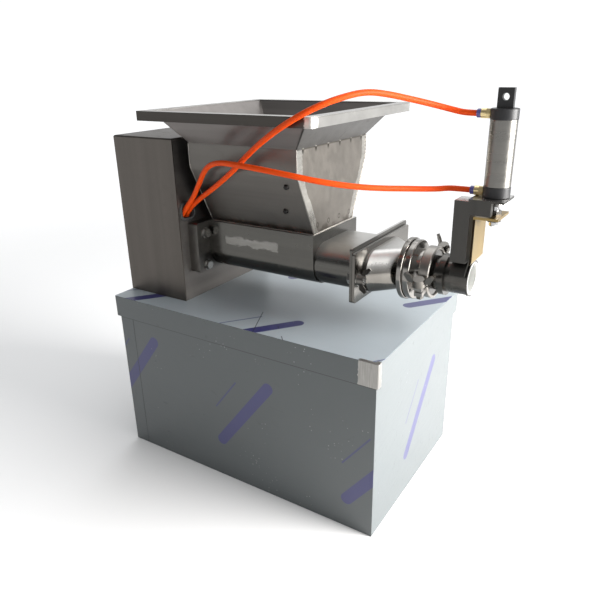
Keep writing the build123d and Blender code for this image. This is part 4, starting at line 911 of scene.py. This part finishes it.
def bead(path: np.ndarray, radius: float, lift: Point, closed: bool = False) -> Surface:
    """Weld bead: a tube whose radius swells once a ripple and, less, over a longer wave, both sines.

    Args:
        path: Points of the path.
        radius: Mean radius.
        lift: A direction that the path never runs along.
        closed: Whether the path is a loop.

    Returns:
        The bead.
    """
    along = np.concatenate([[0.0], np.cumsum(np.linalg.norm(np.diff(path, axis=0), axis=1))])
    swell = 1 + RIPPLE_SWELL * np.sin(2 * np.pi * along / RIPPLE) + SWAY_SWELL * np.sin(along * SWAY)
    return tube(path, radius * swell, lift, closed=closed)


def drops(centres: np.ndarray, radii: Point, rings: int = 5, sides: int = 10) -> Surface:
    """Flattened balls: centre + radii * (cos b cos a, cos b sin a, sin b) over angles a and b.

    Args:
        centres: Centres, one row each.
        radii: Half-widths along X, Y and Z.
        rings: Rings of points between the poles.
        sides: Points in a ring.

    Returns:
        All balls.
    """
    tilt = np.linspace(-np.pi / 2, np.pi / 2, rings + 2)[1:-1, None]
    turn = turns(sides)[None, :]
    ball = np.stack([np.cos(tilt) * np.cos(turn), np.cos(tilt) * np.sin(turn), np.sin(tilt) + 0 * turn], -1)
    ball = np.vstack([ball.reshape(-1, 3), [[0, 0, -1], [0, 0, 1]]]) * np.array(radii)
    around = np.arange(sides)
    beside = (around + 1) % sides
    last, pole = (rings - 1) * sides, np.full(sides, rings * sides)
    low = np.stack([beside, around, pole], 1)
    high = np.stack([last + around, last + beside, pole + 1], 1)
    return merged(Surface(ball + centre, [quads(rings, sides), low, high]) for centre in centres)


def bars(centres: np.ndarray, along: np.ndarray, across: np.ndarray, out: np.ndarray) -> Surface:
    """Small straight bars: centre plus or minus each of three half-edges.

    Args:
        centres: Centres, one row each.
        along: Half-edge along each bar, one row for all or one each.
        across: Half-edge across, in the same way.
        out: Half-edge away from the face that carries the bars, in the same way.

    Returns:
        All bars.
    """
    square = np.array([[-1, -1], [1, -1], [1, 1], [-1, 1]])
    sign = np.vstack([np.column_stack([square, np.full(4, end)]) for end in (-1, 1)])
    edges = np.stack(np.broadcast_arrays(along, across, out), 1)
    corners = centres[:, None, :] + np.einsum("ck,nkd->ncd", sign, edges)
    return merged(Surface(points, stack(2, 4)) for points in corners)


def thread(
    centre: Point, radius: float, length: float, pitch: float, sides: int = 40, rings: int = 6
) -> Surface:
    """Upright screw thread: radius plus a quarter of the pitch times a wave.

    The wave is a triangle from -0.5 to 0.5 over height / pitch + angle / turn.

    Args:
        centre: Middle of the lower end.
        radius: Mean radius.
        length: Height of the thread.
        pitch: Height of a turn.
        sides: Points round a turn.
        rings: Rings of points in a pitch.

    Returns:
        The thread, its ends filled.
    """
    rows = int(rings * length / pitch) + 1
    turn = turns(sides)[None, :]
    height = np.linspace(0, length, rows)[:, None]
    wave = np.abs(((height / pitch + turn / (2 * np.pi)) % 1.0) * 2 - 1) - 0.5
    reach = radius + 0.25 * pitch * wave
    points = np.stack([reach * np.cos(turn), reach * np.sin(turn), height + 0 * turn], -1).reshape(-1, 3)
    return Surface(points + np.array(centre), stack(rows, sides))


def box(node: str) -> tuple[np.ndarray, np.ndarray]:
    """Lowest and highest corner of a solid."""
    low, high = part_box(node)
    return np.array(low), np.array(high)


@dataclass
class SubAssembly(ABC):
    """Part of the machine: dresses its solids and adds its new pieces."""

    frame: dict[str, Any]
    finishes: ClassVar[dict[Finish, tuple[str, ...]]] = {}

    def dress(self) -> None:
        """Gives every solid of the sub-assembly its finish."""
        for finish, nodes in self.finishes.items():
            for place in (slot for node in nodes for slot in self.frame["nodes"][node].material_slots):
                place.material = finish.material()
        LOG.info("%s: %d solids dressed", type(self).__name__, sum(map(len, self.finishes.values())))

    @abstractmethod
    def build(self) -> None:
        """Adds the new pieces."""


@dataclass
class Cabinet(SubAssembly):
    """Base cabinet: film-clad sheets, louvre hoods and screw recesses at the back."""

    louvre_length: float = 90 * MM
    louvre_pitch: float = 14 * MM
    louvre_rows: int = 6
    louvre_lap: float = 3 * MM
    hood_reach: float = 5 * MM
    hood_wall: float = 0.8 * MM
    hood_end: float = 0.4
    hood_steps: tuple[int, int] = (25, 7)
    sink: float = 0.2 * MM
    screw_inset: float = 4 * MM
    recess: Point = (2.0 * MM, 0.25 * MM, 0.45 * MM)
    finishes = {
        Finishes.lid_film: ("base_lid",),
        Finishes.film: ("left_panel", "front_panel", "right_panel", "back_panel"),
        Finishes.frame: ("base_frame",),
        Finishes.fastener: ("panel_screws",),
        Finishes.grey_plastic: ("cable_gland",),
    }

    def build(self) -> None:
        """Adds the louvre hoods and the cross recesses of the panel screws."""
        self.hoods().place("louvre_hoods", Finishes.film, "film_clad_steel")
        self.recesses().place("screw_recesses", Finishes.dark_bolt, "dark_bolt_steel", smooth=False)

    def hoods(self) -> Surface:
        """Louvre hoods: over each slot a quarter-round roof whose reach fades to nothing at both ends.

        With u along the slot and v from the upper edge to the lip, reach is sin(v) times a fade of
        1 - (2u - 1) ** 8 and height is cos(v) times the same fade from hood_end to 1. A second sheet a
        wall further in closes the hood.

        Returns:
            All hoods.
        """
        low, high = box("back_panel")
        middle = (low + high) / 2
        u = np.linspace(0, 1, self.hood_steps[0])[:, None]
        quarter = np.linspace(0, np.pi / 2, self.hood_steps[1])
        v = np.concatenate([quarter, quarter[::-1]])[None, :]
        reach = self.hood_reach - self.hood_wall * np.repeat([0, 1], len(quarter))[None, :]
        fade = 1 - np.abs(2 * u - 1) ** 8
        x = (u - 0.5) * (self.louvre_length + 2 * self.louvre_lap) + 0 * v
        y = high[1] - self.sink + reach * np.sin(v) * fade
        height = (self.louvre_lap + reach) * (self.hood_end + (1 - self.hood_end) * fade)
        z = height * np.cos(v) - self.louvre_lap
        hood = np.stack([x, y, z], -1).reshape(-1, 3)
        xs = middle[0] + np.array([-1, 1]) * self.louvre_length
        zs = middle[2] + (np.arange(self.louvre_rows) - (self.louvre_rows - 1) / 2) * self.louvre_pitch
        faces = stack(u.size, v.size)
        return merged(Surface(hood + np.array([x, 0, z]), faces) for x in xs for z in zs)

    def recesses(self) -> Surface:
        """Cross recesses: two dark bars sunk into each screw head.

        Returns:
            All recesses.
        """
        low, high = box("panel_screws")
        low, high = low + self.screw_inset, high - np.array([self.screw_inset, self.sink, self.screw_inset])
        grid = np.meshgrid([low[0], high[0]], [high[1]], np.linspace(low[2], high[2], 3))
        centres = np.stack(grid, -1).reshape(-1, 3)
        return merged(bars(centres, *np.diag(sizes)[:, None]) for sizes in (self.recess, self.recess[::-1]))


@dataclass
class DriveHousing(SubAssembly):
    """Upright housing with its controls, and the drive inside."""

    plate: float = 2.0 * MM
    dial_radius: float = 16.5 * MM
    dial_ends: tuple[float, float] = (225.0, -45.0)
    ticks: int = 11
    long_every: int = 5
    tick_halves: tuple[float, float] = (2.4 * MM, 1.5 * MM)
    tick_width: float = 0.35 * MM
    tick_height: float = 0.12 * MM
    finishes = {
        Finishes.housing: ("housing_shell",),
        Finishes.bulkhead: ("housing_bulkhead",),
        Finishes.rubber: ("hose_grommet", "drive_belt"),
        Finishes.block: ("control_plate",),
        Finishes.grey_plastic: ("control_unit",),
        Finishes.black_plastic: ("power_switch", "speed_knob"),
        Finishes.green_plastic: ("start_button",),
        Finishes.red_plastic: ("stop_button",),
        Finishes.motor: ("motor_body",),
        Finishes.casting: ("motor_pulley", "reducer_case", "reducer_pulley"),
        Finishes.gear: ("timing_gear_near", "timing_gear_far"),
        Finishes.alloy: ("solenoid_valve",),
        Finishes.brass: ("air_fittings",),
    }

    def build(self) -> None:
        """Adds the dial marks round the speed knob: bars along rays, every fifth one longer."""
        middle = sum(box("speed_knob")) / 2
        middle[0] = box("housing_shell")[0][0] - self.plate
        angle = np.radians(np.linspace(*self.dial_ends, self.ticks))
        ray = np.stack([0 * angle, -np.cos(angle), np.sin(angle)], 1)
        side = np.stack([0 * angle, np.sin(angle), np.cos(angle)], 1)
        length = np.where(np.arange(self.ticks) % self.long_every == 0, *self.tick_halves)[:, None]
        out = np.array([[self.tick_height, 0, 0]])
        marks = bars(middle + ray * self.dial_radius, ray * length, side * self.tick_width, out)
        marks.place("dial_marks", Finishes.mark, "white_plastic", smooth=False)


@dataclass
class Hopper(SubAssembly):
    """Sheet hopper: weld beads up its corners, tacks at the waist and a rolled rim edge."""

    foot_half: float = 62 * MM
    taper_height: float = 96 * MM
    bend: float = 30 * MM
    line_steps: tuple[int, int, int] = (60, 12, 24)
    corner_bead: float = 0.9 * MM
    foot_bead: float = 1.3 * MM
    foot_inset: float = 2 * MM
    foot_out: float = 0.4 * MM
    tacks: int = 6
    tack_pitch: float = 36 * MM
    tack: Point = (1.0 * MM, 2.6 * MM, 1.3 * MM)
    rim_corner: float = 4 * MM
    rim_inset: float = 0.75 * MM
    rim_drop: float = 0.72 * MM
    rim_radius: float = 0.95 * MM
    rim_steps: int = 8
    finishes = {
        Finishes.hopper: ("hopper_body",),
        Finishes.funnel: ("hopper_funnel",),
        Finishes.rim: ("hopper_rim",),
        Finishes.dark_bolt: ("hopper_bolts",),
    }

    def __post_init__(self) -> None:
        """Reads the body's lowest and highest corner."""
        self.low, self.high = box("hopper_body")

    def build(self) -> None:
        """Adds the corner beads, the foot beads, the waist tacks and the rim's rolled edge."""
        self.corner_beads().place("hopper_corner_welds", Finishes.weld, "stainless")
        self.foot_beads().place("hopper_foot_welds", Finishes.weld, "stainless")
        self.waist_tacks().place("hopper_waist_tacks", Finishes.weld, "stainless")
        self.rim_edge().place("hopper_rim_edge", Finishes.rim, "stainless")

    def side_line(self) -> np.ndarray:
        """Outline of the far side, from the foot through the bend to the waist.

        The bend is an arc of the bend radius that touches the taper and the upright.

        Returns:
            Y and Z, one row each.
        """
        waist_half = self.high[1]
        taper_steps, bend_steps, upright_steps = self.line_steps
        lean = math.atan2(waist_half - self.foot_half, self.taper_height)
        touch = self.bend * math.tan(lean / 2)
        corner = np.array([waist_half, self.low[2] + self.taper_height])
        start = corner - touch * np.array([math.sin(lean), math.cos(lean)])
        angle = np.linspace(lean, 0, bend_steps)
        arc = corner + [-self.bend, touch] + self.bend * np.stack([np.cos(angle), -np.sin(angle)], 1)
        taper = np.linspace([self.foot_half, self.low[2]], start, taper_steps)
        upright = np.linspace(arc[-1], [waist_half, self.high[2]], upright_steps)
        return np.vstack([taper[:-1], arc, upright[1:]])

    def corner_beads(self) -> Surface:
        """Beads up the four corners of the body.

        Returns:
            All four beads.
        """
        y, z = self.side_line().T
        ends = [(x, side) for x in (self.low[0], self.high[0]) for side in (-1, 1)]
        paths = (np.stack([np.full(len(y), x), side * y, z], 1) for x, side in ends)
        return merged(bead(path, self.corner_bead, (1, 0, 0)) for path in paths)

    def foot_beads(self) -> Surface:
        """Beads along both sides and the front end of the foot, on the trough's seat.

        Returns:
            All three beads.
        """
        z, front, half = self.low[2], self.high[0], self.foot_half
        back, near_front = self.low[0] + self.foot_inset, front - self.foot_inset
        paths = [run((back, y, z), (near_front, y, z)) for y in (-half - self.foot_out, half + self.foot_out)]
        paths.append(run((front, -half, z), (front, half, z)))
        return merged(bead(path, self.foot_bead, (0, 0, 1)) for path in paths)

    def waist_tacks(self) -> Surface:
        """Tack welds along the waist of the front end, a pitch apart, as drops half sunk into the joint.

        Returns:
            All tacks.
        """
        ys = (np.arange(self.tacks) - (self.tacks - 1) / 2) * self.tack_pitch
        centres = np.stack([np.full(self.tacks, self.high[0]), ys, np.full(self.tacks, self.high[2])], 1)
        return drops(centres, self.tack)

    def rim_edge(self) -> Surface:
        """Rolled edge: a thin tube along the top of the rim band, a quarter circle at each corner.

        Returns:
            The closed edge.
        """
        low, high = box("hopper_rim")
        middle, half = (low + high)[:2] / 2, (high - low)[:2] / 2
        start = np.arange(4)[:, None] * 90.0
        angle = np.radians(start + np.linspace(0, 90, self.rim_steps))[..., None]
        corner = np.sign(np.cos(np.radians(start + [45, -45])))[:, None, :]
        round_corner = np.concatenate([np.cos(angle), np.sin(angle)], -1) * (self.rim_corner - self.rim_inset)
        ring = (middle + corner * (half - self.rim_corner) + round_corner).reshape(-1, 2)
        path = np.column_stack([ring, np.full(len(ring), high[2] - self.rim_drop)])
        return tube(path, self.rim_radius, (0, 0, 1), sides=10, closed=True)


@dataclass
class FeedTrough(SubAssembly):
    """Bearing block, trough and both screws."""

    weld_half: float = 68.5 * MM
    weld_radius: float = 1.4 * MM
    weld_inset: float = 0.3 * MM
    weld_drop: float = 1.0 * MM
    finishes = {
        Finishes.block: ("bearing_block",),
        Finishes.fastener: ("block_bolts", "flange_bolts"),
        Finishes.gear: ("screw_bearings",),
        Finishes.rubber: ("shaft_seals", "flange_gasket"),
        Finishes.trough: ("trough",),
        Finishes.wing: ("wing_nuts",),
        Finishes.screw: ("screw_near", "screw_far"),
    }

    def build(self) -> None:
        """Adds the bead along the trough's joint with the bearing block."""
        low, high = box("trough")
        x, z = low[0] + self.weld_inset, high[2] - self.weld_drop
        path = run((x, -self.weld_half, z), (x, self.weld_half, z))
        bead(path, self.weld_radius, (0, 0, 1)).place("trough_rear_weld", Finishes.weld, "stainless")


@dataclass
class Outlet(SubAssembly):
    """Nozzle, turned rings, hygienic clamp and outlet tube."""

    pipe_radius: float = 32.6 * MM
    weld_radius: float = 1.2 * MM
    weld_steps: int = 240
    finishes = {
        Finishes.cone: ("nozzle_cone",),
        Finishes.turned: ("adapter_ring", "adapter_neck"),
        Finishes.clamp: ("clamp_upper_half", "clamp_lower_half"),
        Finishes.wing: ("clamp_bolts",),
        Finishes.tube: ("outlet_tube",),
        Finishes.sleeve: ("outlet_sleeve",),
    }

    def build(self) -> None:
        """Adds the weld ring between the cone's pipe and the first turned ring."""
        low, high = box("adapter_ring")
        angle = turns(self.weld_steps)
        circle = np.stack([0 * angle, np.cos(angle), np.sin(angle)], 1)
        path = np.array([low[0], 0.0, (low[2] + high[2]) / 2]) + self.pipe_radius * circle
        ring = bead(path, self.weld_radius, (1, 0, 0), closed=True)
        ring.place("pipe_weld", Finishes.weld, "polished_stainless")


@dataclass
class Cutter(SubAssembly):
    """Bracket, air cylinder and knife."""

    nose_radius: float = 12.0 * MM
    nose_pitch: float = 1.5 * MM
    nose_gap: float = 0.2 * MM
    rod_radius: float = 5.95 * MM
    rod_pitch: float = 1.25 * MM
    rod_gap: float = 1.0 * MM
    rod_length: float = 1.5 * MM
    finishes = {
        Finishes.bracket: ("cutter_bracket",),
        Finishes.black_alloy: ("cylinder_bottom_cap", "cylinder_top_cap"),
        Finishes.barrel: ("cylinder_barrel",),
        Finishes.fastener: ("nose_nut",),
        Finishes.rod: ("piston_rod",),
        Finishes.tube: ("rod_nuts",),
        Finishes.knife: ("knife",),
        Finishes.brass: ("cylinder_fittings",),
        Finishes.collar: ("fitting_collars",),
    }

    def build(self) -> None:
        """Adds the threads of the cylinder's nose and of the rod's end."""
        low, high = box("cylinder_bottom_cap")
        x, nose_foot = (low[0] + high[0]) / 2, low[2] + self.nose_gap
        nose_length = box("nose_nut")[0][2] - nose_foot
        nose = thread((x, 0, nose_foot), self.nose_radius, nose_length, self.nose_pitch)
        nose.place("nose_thread", Finishes.black_alloy, "black_alloy")
        rod_foot = box("piston_rod")[0][2] + self.rod_gap
        tail = thread((x, 0, rod_foot), self.rod_radius, self.rod_length, self.rod_pitch)
        tail.place("rod_thread", Finishes.rod, "polished_stainless", Body.CUTTER)


@dataclass
class AirHoses(SubAssembly):
    """Both air hoses, from the valve through the grommet to the cylinder's ports."""

    diameter: float = 0.008
    upper_length: float = 0.6301
    lower_length: float = 0.5893
    upper: Sequence[Point] = (
        (-143, -91, 414), (-143, -91, 426), (-139.5, -91.5, 438), (-131, -93, 450.5), (-117, -95.5, 463),
        (-92, -103, 479), (-50, -115, 502), (-1, -130, 532), (49, -146, 568), (95, -162, 594),
        (137, -172, 615), (165, -164, 629), (185, -144, 638), (204, -113, 644), (221, -83, 639.5),
        (237, -56, 633), (252, -33, 627), (266, -15.5, 621.5), (280, -4.5, 616.8), (295.2, 0, 613.1),
        (311.2, 0, 613.1),
    )
    lower: Sequence[Point] = (
        (-143, -105, 414), (-143, -105, 426), (-139.5, -105, 438), (-131.5, -105, 450), (-118, -106, 464),
        (-99, -110, 482), (-78, -118, 506), (-52, -129, 535), (-16, -143, 547), (29, -153, 547),
        (73, -158, 545), (116, -154, 540), (152, -138, 532), (185, -110, 524), (213, -78, 518.5),
        (235, -48, 515), (253, -27, 512.5), (268, -13, 511.5), (282, -4, 512.5), (295.2, 0, 512.1),
        (311.2, 0, 512.1),
    )

    def build(self) -> None:
        """Lays both hoses."""
        self.lay("upper_air_hose", "upper_hose", self.upper, self.upper_length)
        self.lay("lower_air_hose", "lower_hose", self.lower, self.lower_length)

    def lay(self, name: str, node: str, route: Sequence[Point], length: float) -> None:
        """Lays one hose as a smooth line with the route's points as control points.

        Args:
            name: Name of the piece.
            node: The solid that it stands for.
            route: The route in millimetres.
            length: The hose's real length in metres; not used.
        """
        curve = bpy.data.curves.new(name, "CURVE")
        curve.dimensions = "3D"
        curve.resolution_u = 10
        curve.bevel_depth = self.diameter / 2
        curve.bevel_resolution = 5
        curve.use_fill_caps = True
        curve.materials.append(Finishes.hose.material())
        line = curve.splines.new("NURBS")
        line.points.add(len(route) - 1)
        line.points.foreach_set("co", np.column_stack([np.array(route) * MM, np.ones(len(route))]).ravel())
        line.order_u = 3
        line.use_endpoint_u = True
        piece = bpy.data.objects.new(name, curve)
        bpy.context.scene.collection.objects.link(piece)
        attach(piece, Body.MACHINE.value)
        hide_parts(node)
        LOG.info("%s: %d control points", name, len(route))


@dataclass
class Studio:
    """Camera at the photograph's angle, pale floor and soft light, strongest from the outlet end."""

    eye: Point = (0.552, -0.8118, 0.678)
    yaw: float = 32.80
    pitch: float = 21.79
    roll: float = -1.02
    lens: float = 35.58
    sensor: float = 36.0
    floor_half: float = 30.0
    floor_top: float = -0.0004
    floor_tones: Tones = ((0.86, 0.86, 0.86), (0.90, 0.90, 0.90))
    floor_glow: Tones = ((0.0, 0.0, 0.0), (0.44, 0.445, 0.45))
    glow_start: Edges = (0.9, 3.4)
    sky: Colour = (0.98, 0.99, 1.0)
    sky_way: Point = (0.66, 0.62, 0.42)
    sky_edge: Edges = (-0.55, 0.55)
    sky_dim: float = 0.09
    sky_gain: float = 0.87
    wall_edge: Edges = (0.13, 0.32)
    wall_gain: float = 1.06

    def build(self) -> None:
        """Sets the camera, the floor, the world and the lights."""
        self.camera()
        self.floor()
        self.world()
        self.light(
            "key_light", place=(1.65, 0.30, 0.74), aim=(0.15, 0.0, 0.28),
            size=1.0, power=88.0, colour=(1.0, 0.985, 0.965),
        )
        self.light(
            "top_light", place=(-0.3, 0.9, 2.0), aim=(0.0, 0.0, 0.3),
            size=1.4, power=10.0, colour=(0.97, 0.985, 1.0),
        )
        bpy.context.scene.view_settings.view_transform = "Standard"

    def camera(self) -> None:
        """Places the camera from its eye point and its yaw, pitch and roll."""
        data = bpy.data.cameras.new("photo_camera")
        data.lens = self.lens
        data.sensor_width = self.sensor
        camera = bpy.data.objects.new("photo_camera", data)
        place = Matrix.Translation(self.eye)
        for angle, axis in ((self.yaw, "Z"), (90.0 - self.pitch, "X"), (self.roll, "Z")):
            place = place @ Matrix.Rotation(math.radians(angle), 4, axis)
        camera.matrix_world = place
        bpy.context.scene.collection.objects.link(camera)
        bpy.context.scene.camera = camera

    def floor(self) -> None:
        """Lays the pale floor under the machine, glowing far off so that it meets the background."""
        half, top = self.floor_half, self.floor_top
        mesh = bpy.data.meshes.new("studio_floor")
        corners = [(-half, -half, top), (half, -half, top), (half, half, top), (-half, half, top)]
        mesh.from_pydata(corners, [], [(0, 1, 2, 3)])
        floor = bpy.data.objects.new("studio_floor", mesh)
        bpy.context.scene.collection.objects.link(floor)
        recipe = Recipe("studio_floor")
        x, y, _ = recipe.axes()
        recipe.feed(
            {
                "Base Color": recipe.tint(recipe.noise(0.8, 2.0), *self.floor_tones),
                "Roughness": 0.9,
                "Emission Color": recipe.tint(x.span(y).rise(*self.glow_start), *self.floor_glow),
                "Emission Strength": 1.0,
            }
        )
        mesh.materials.append(recipe.material)

    def world(self) -> None:
        """Wraps the studio in soft light: bright behind and low all round, dim above the front."""
        world = bpy.data.worlds.new("studio")
        world.use_nodes = True
        book = NodeBook(world.node_tree)
        glow = book.toward("Generated", self.sky_way).rise(*self.sky_edge) * self.sky_gain + self.sky_dim
        wall = book.split("Generated")[2].fall(*self.wall_edge) * self.wall_gain
        background = book.node("ShaderNodeBackground", {"Color": self.sky, "Strength": glow.least(wall)})
        book.node("ShaderNodeOutputWorld", {"Surface": book.out(background)})
        bpy.context.scene.world = world

    def light(self, name: str, place: Point, aim: Point, size: float, power: float, colour: Colour) -> None:
        """Adds a square soft light.

        Args:
            name: Name of the light.
            place: Where it stands.
            aim: The point that it faces.
            size: Edge of the square.
            power: Power in watts.
            colour: Colour of the light.
        """
        data = bpy.data.lights.new(name, "AREA")
        data.size = size
        data.energy = power
        data.color = colour
        lamp = bpy.data.objects.new(name, data)
        lamp.location = place
        lamp.rotation_euler = (Vector(aim) - Vector(place)).to_track_quat("-Z", "Y").to_euler()
        bpy.context.scene.collection.objects.link(lamp)


def main() -> None:
    """Loads the frame, builds the studio and every sub-assembly in order."""
    logging.basicConfig(level=logging.INFO, format="%(name)s: %(message)s")
    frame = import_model()
    Studio().build()
    for kind in (AirHoses, Cabinet, DriveHousing, Hopper, FeedTrough, Outlet, Cutter):
        part = kind(frame)
        part.dress()
        part.build()


if __name__ == "__main__":
    main()
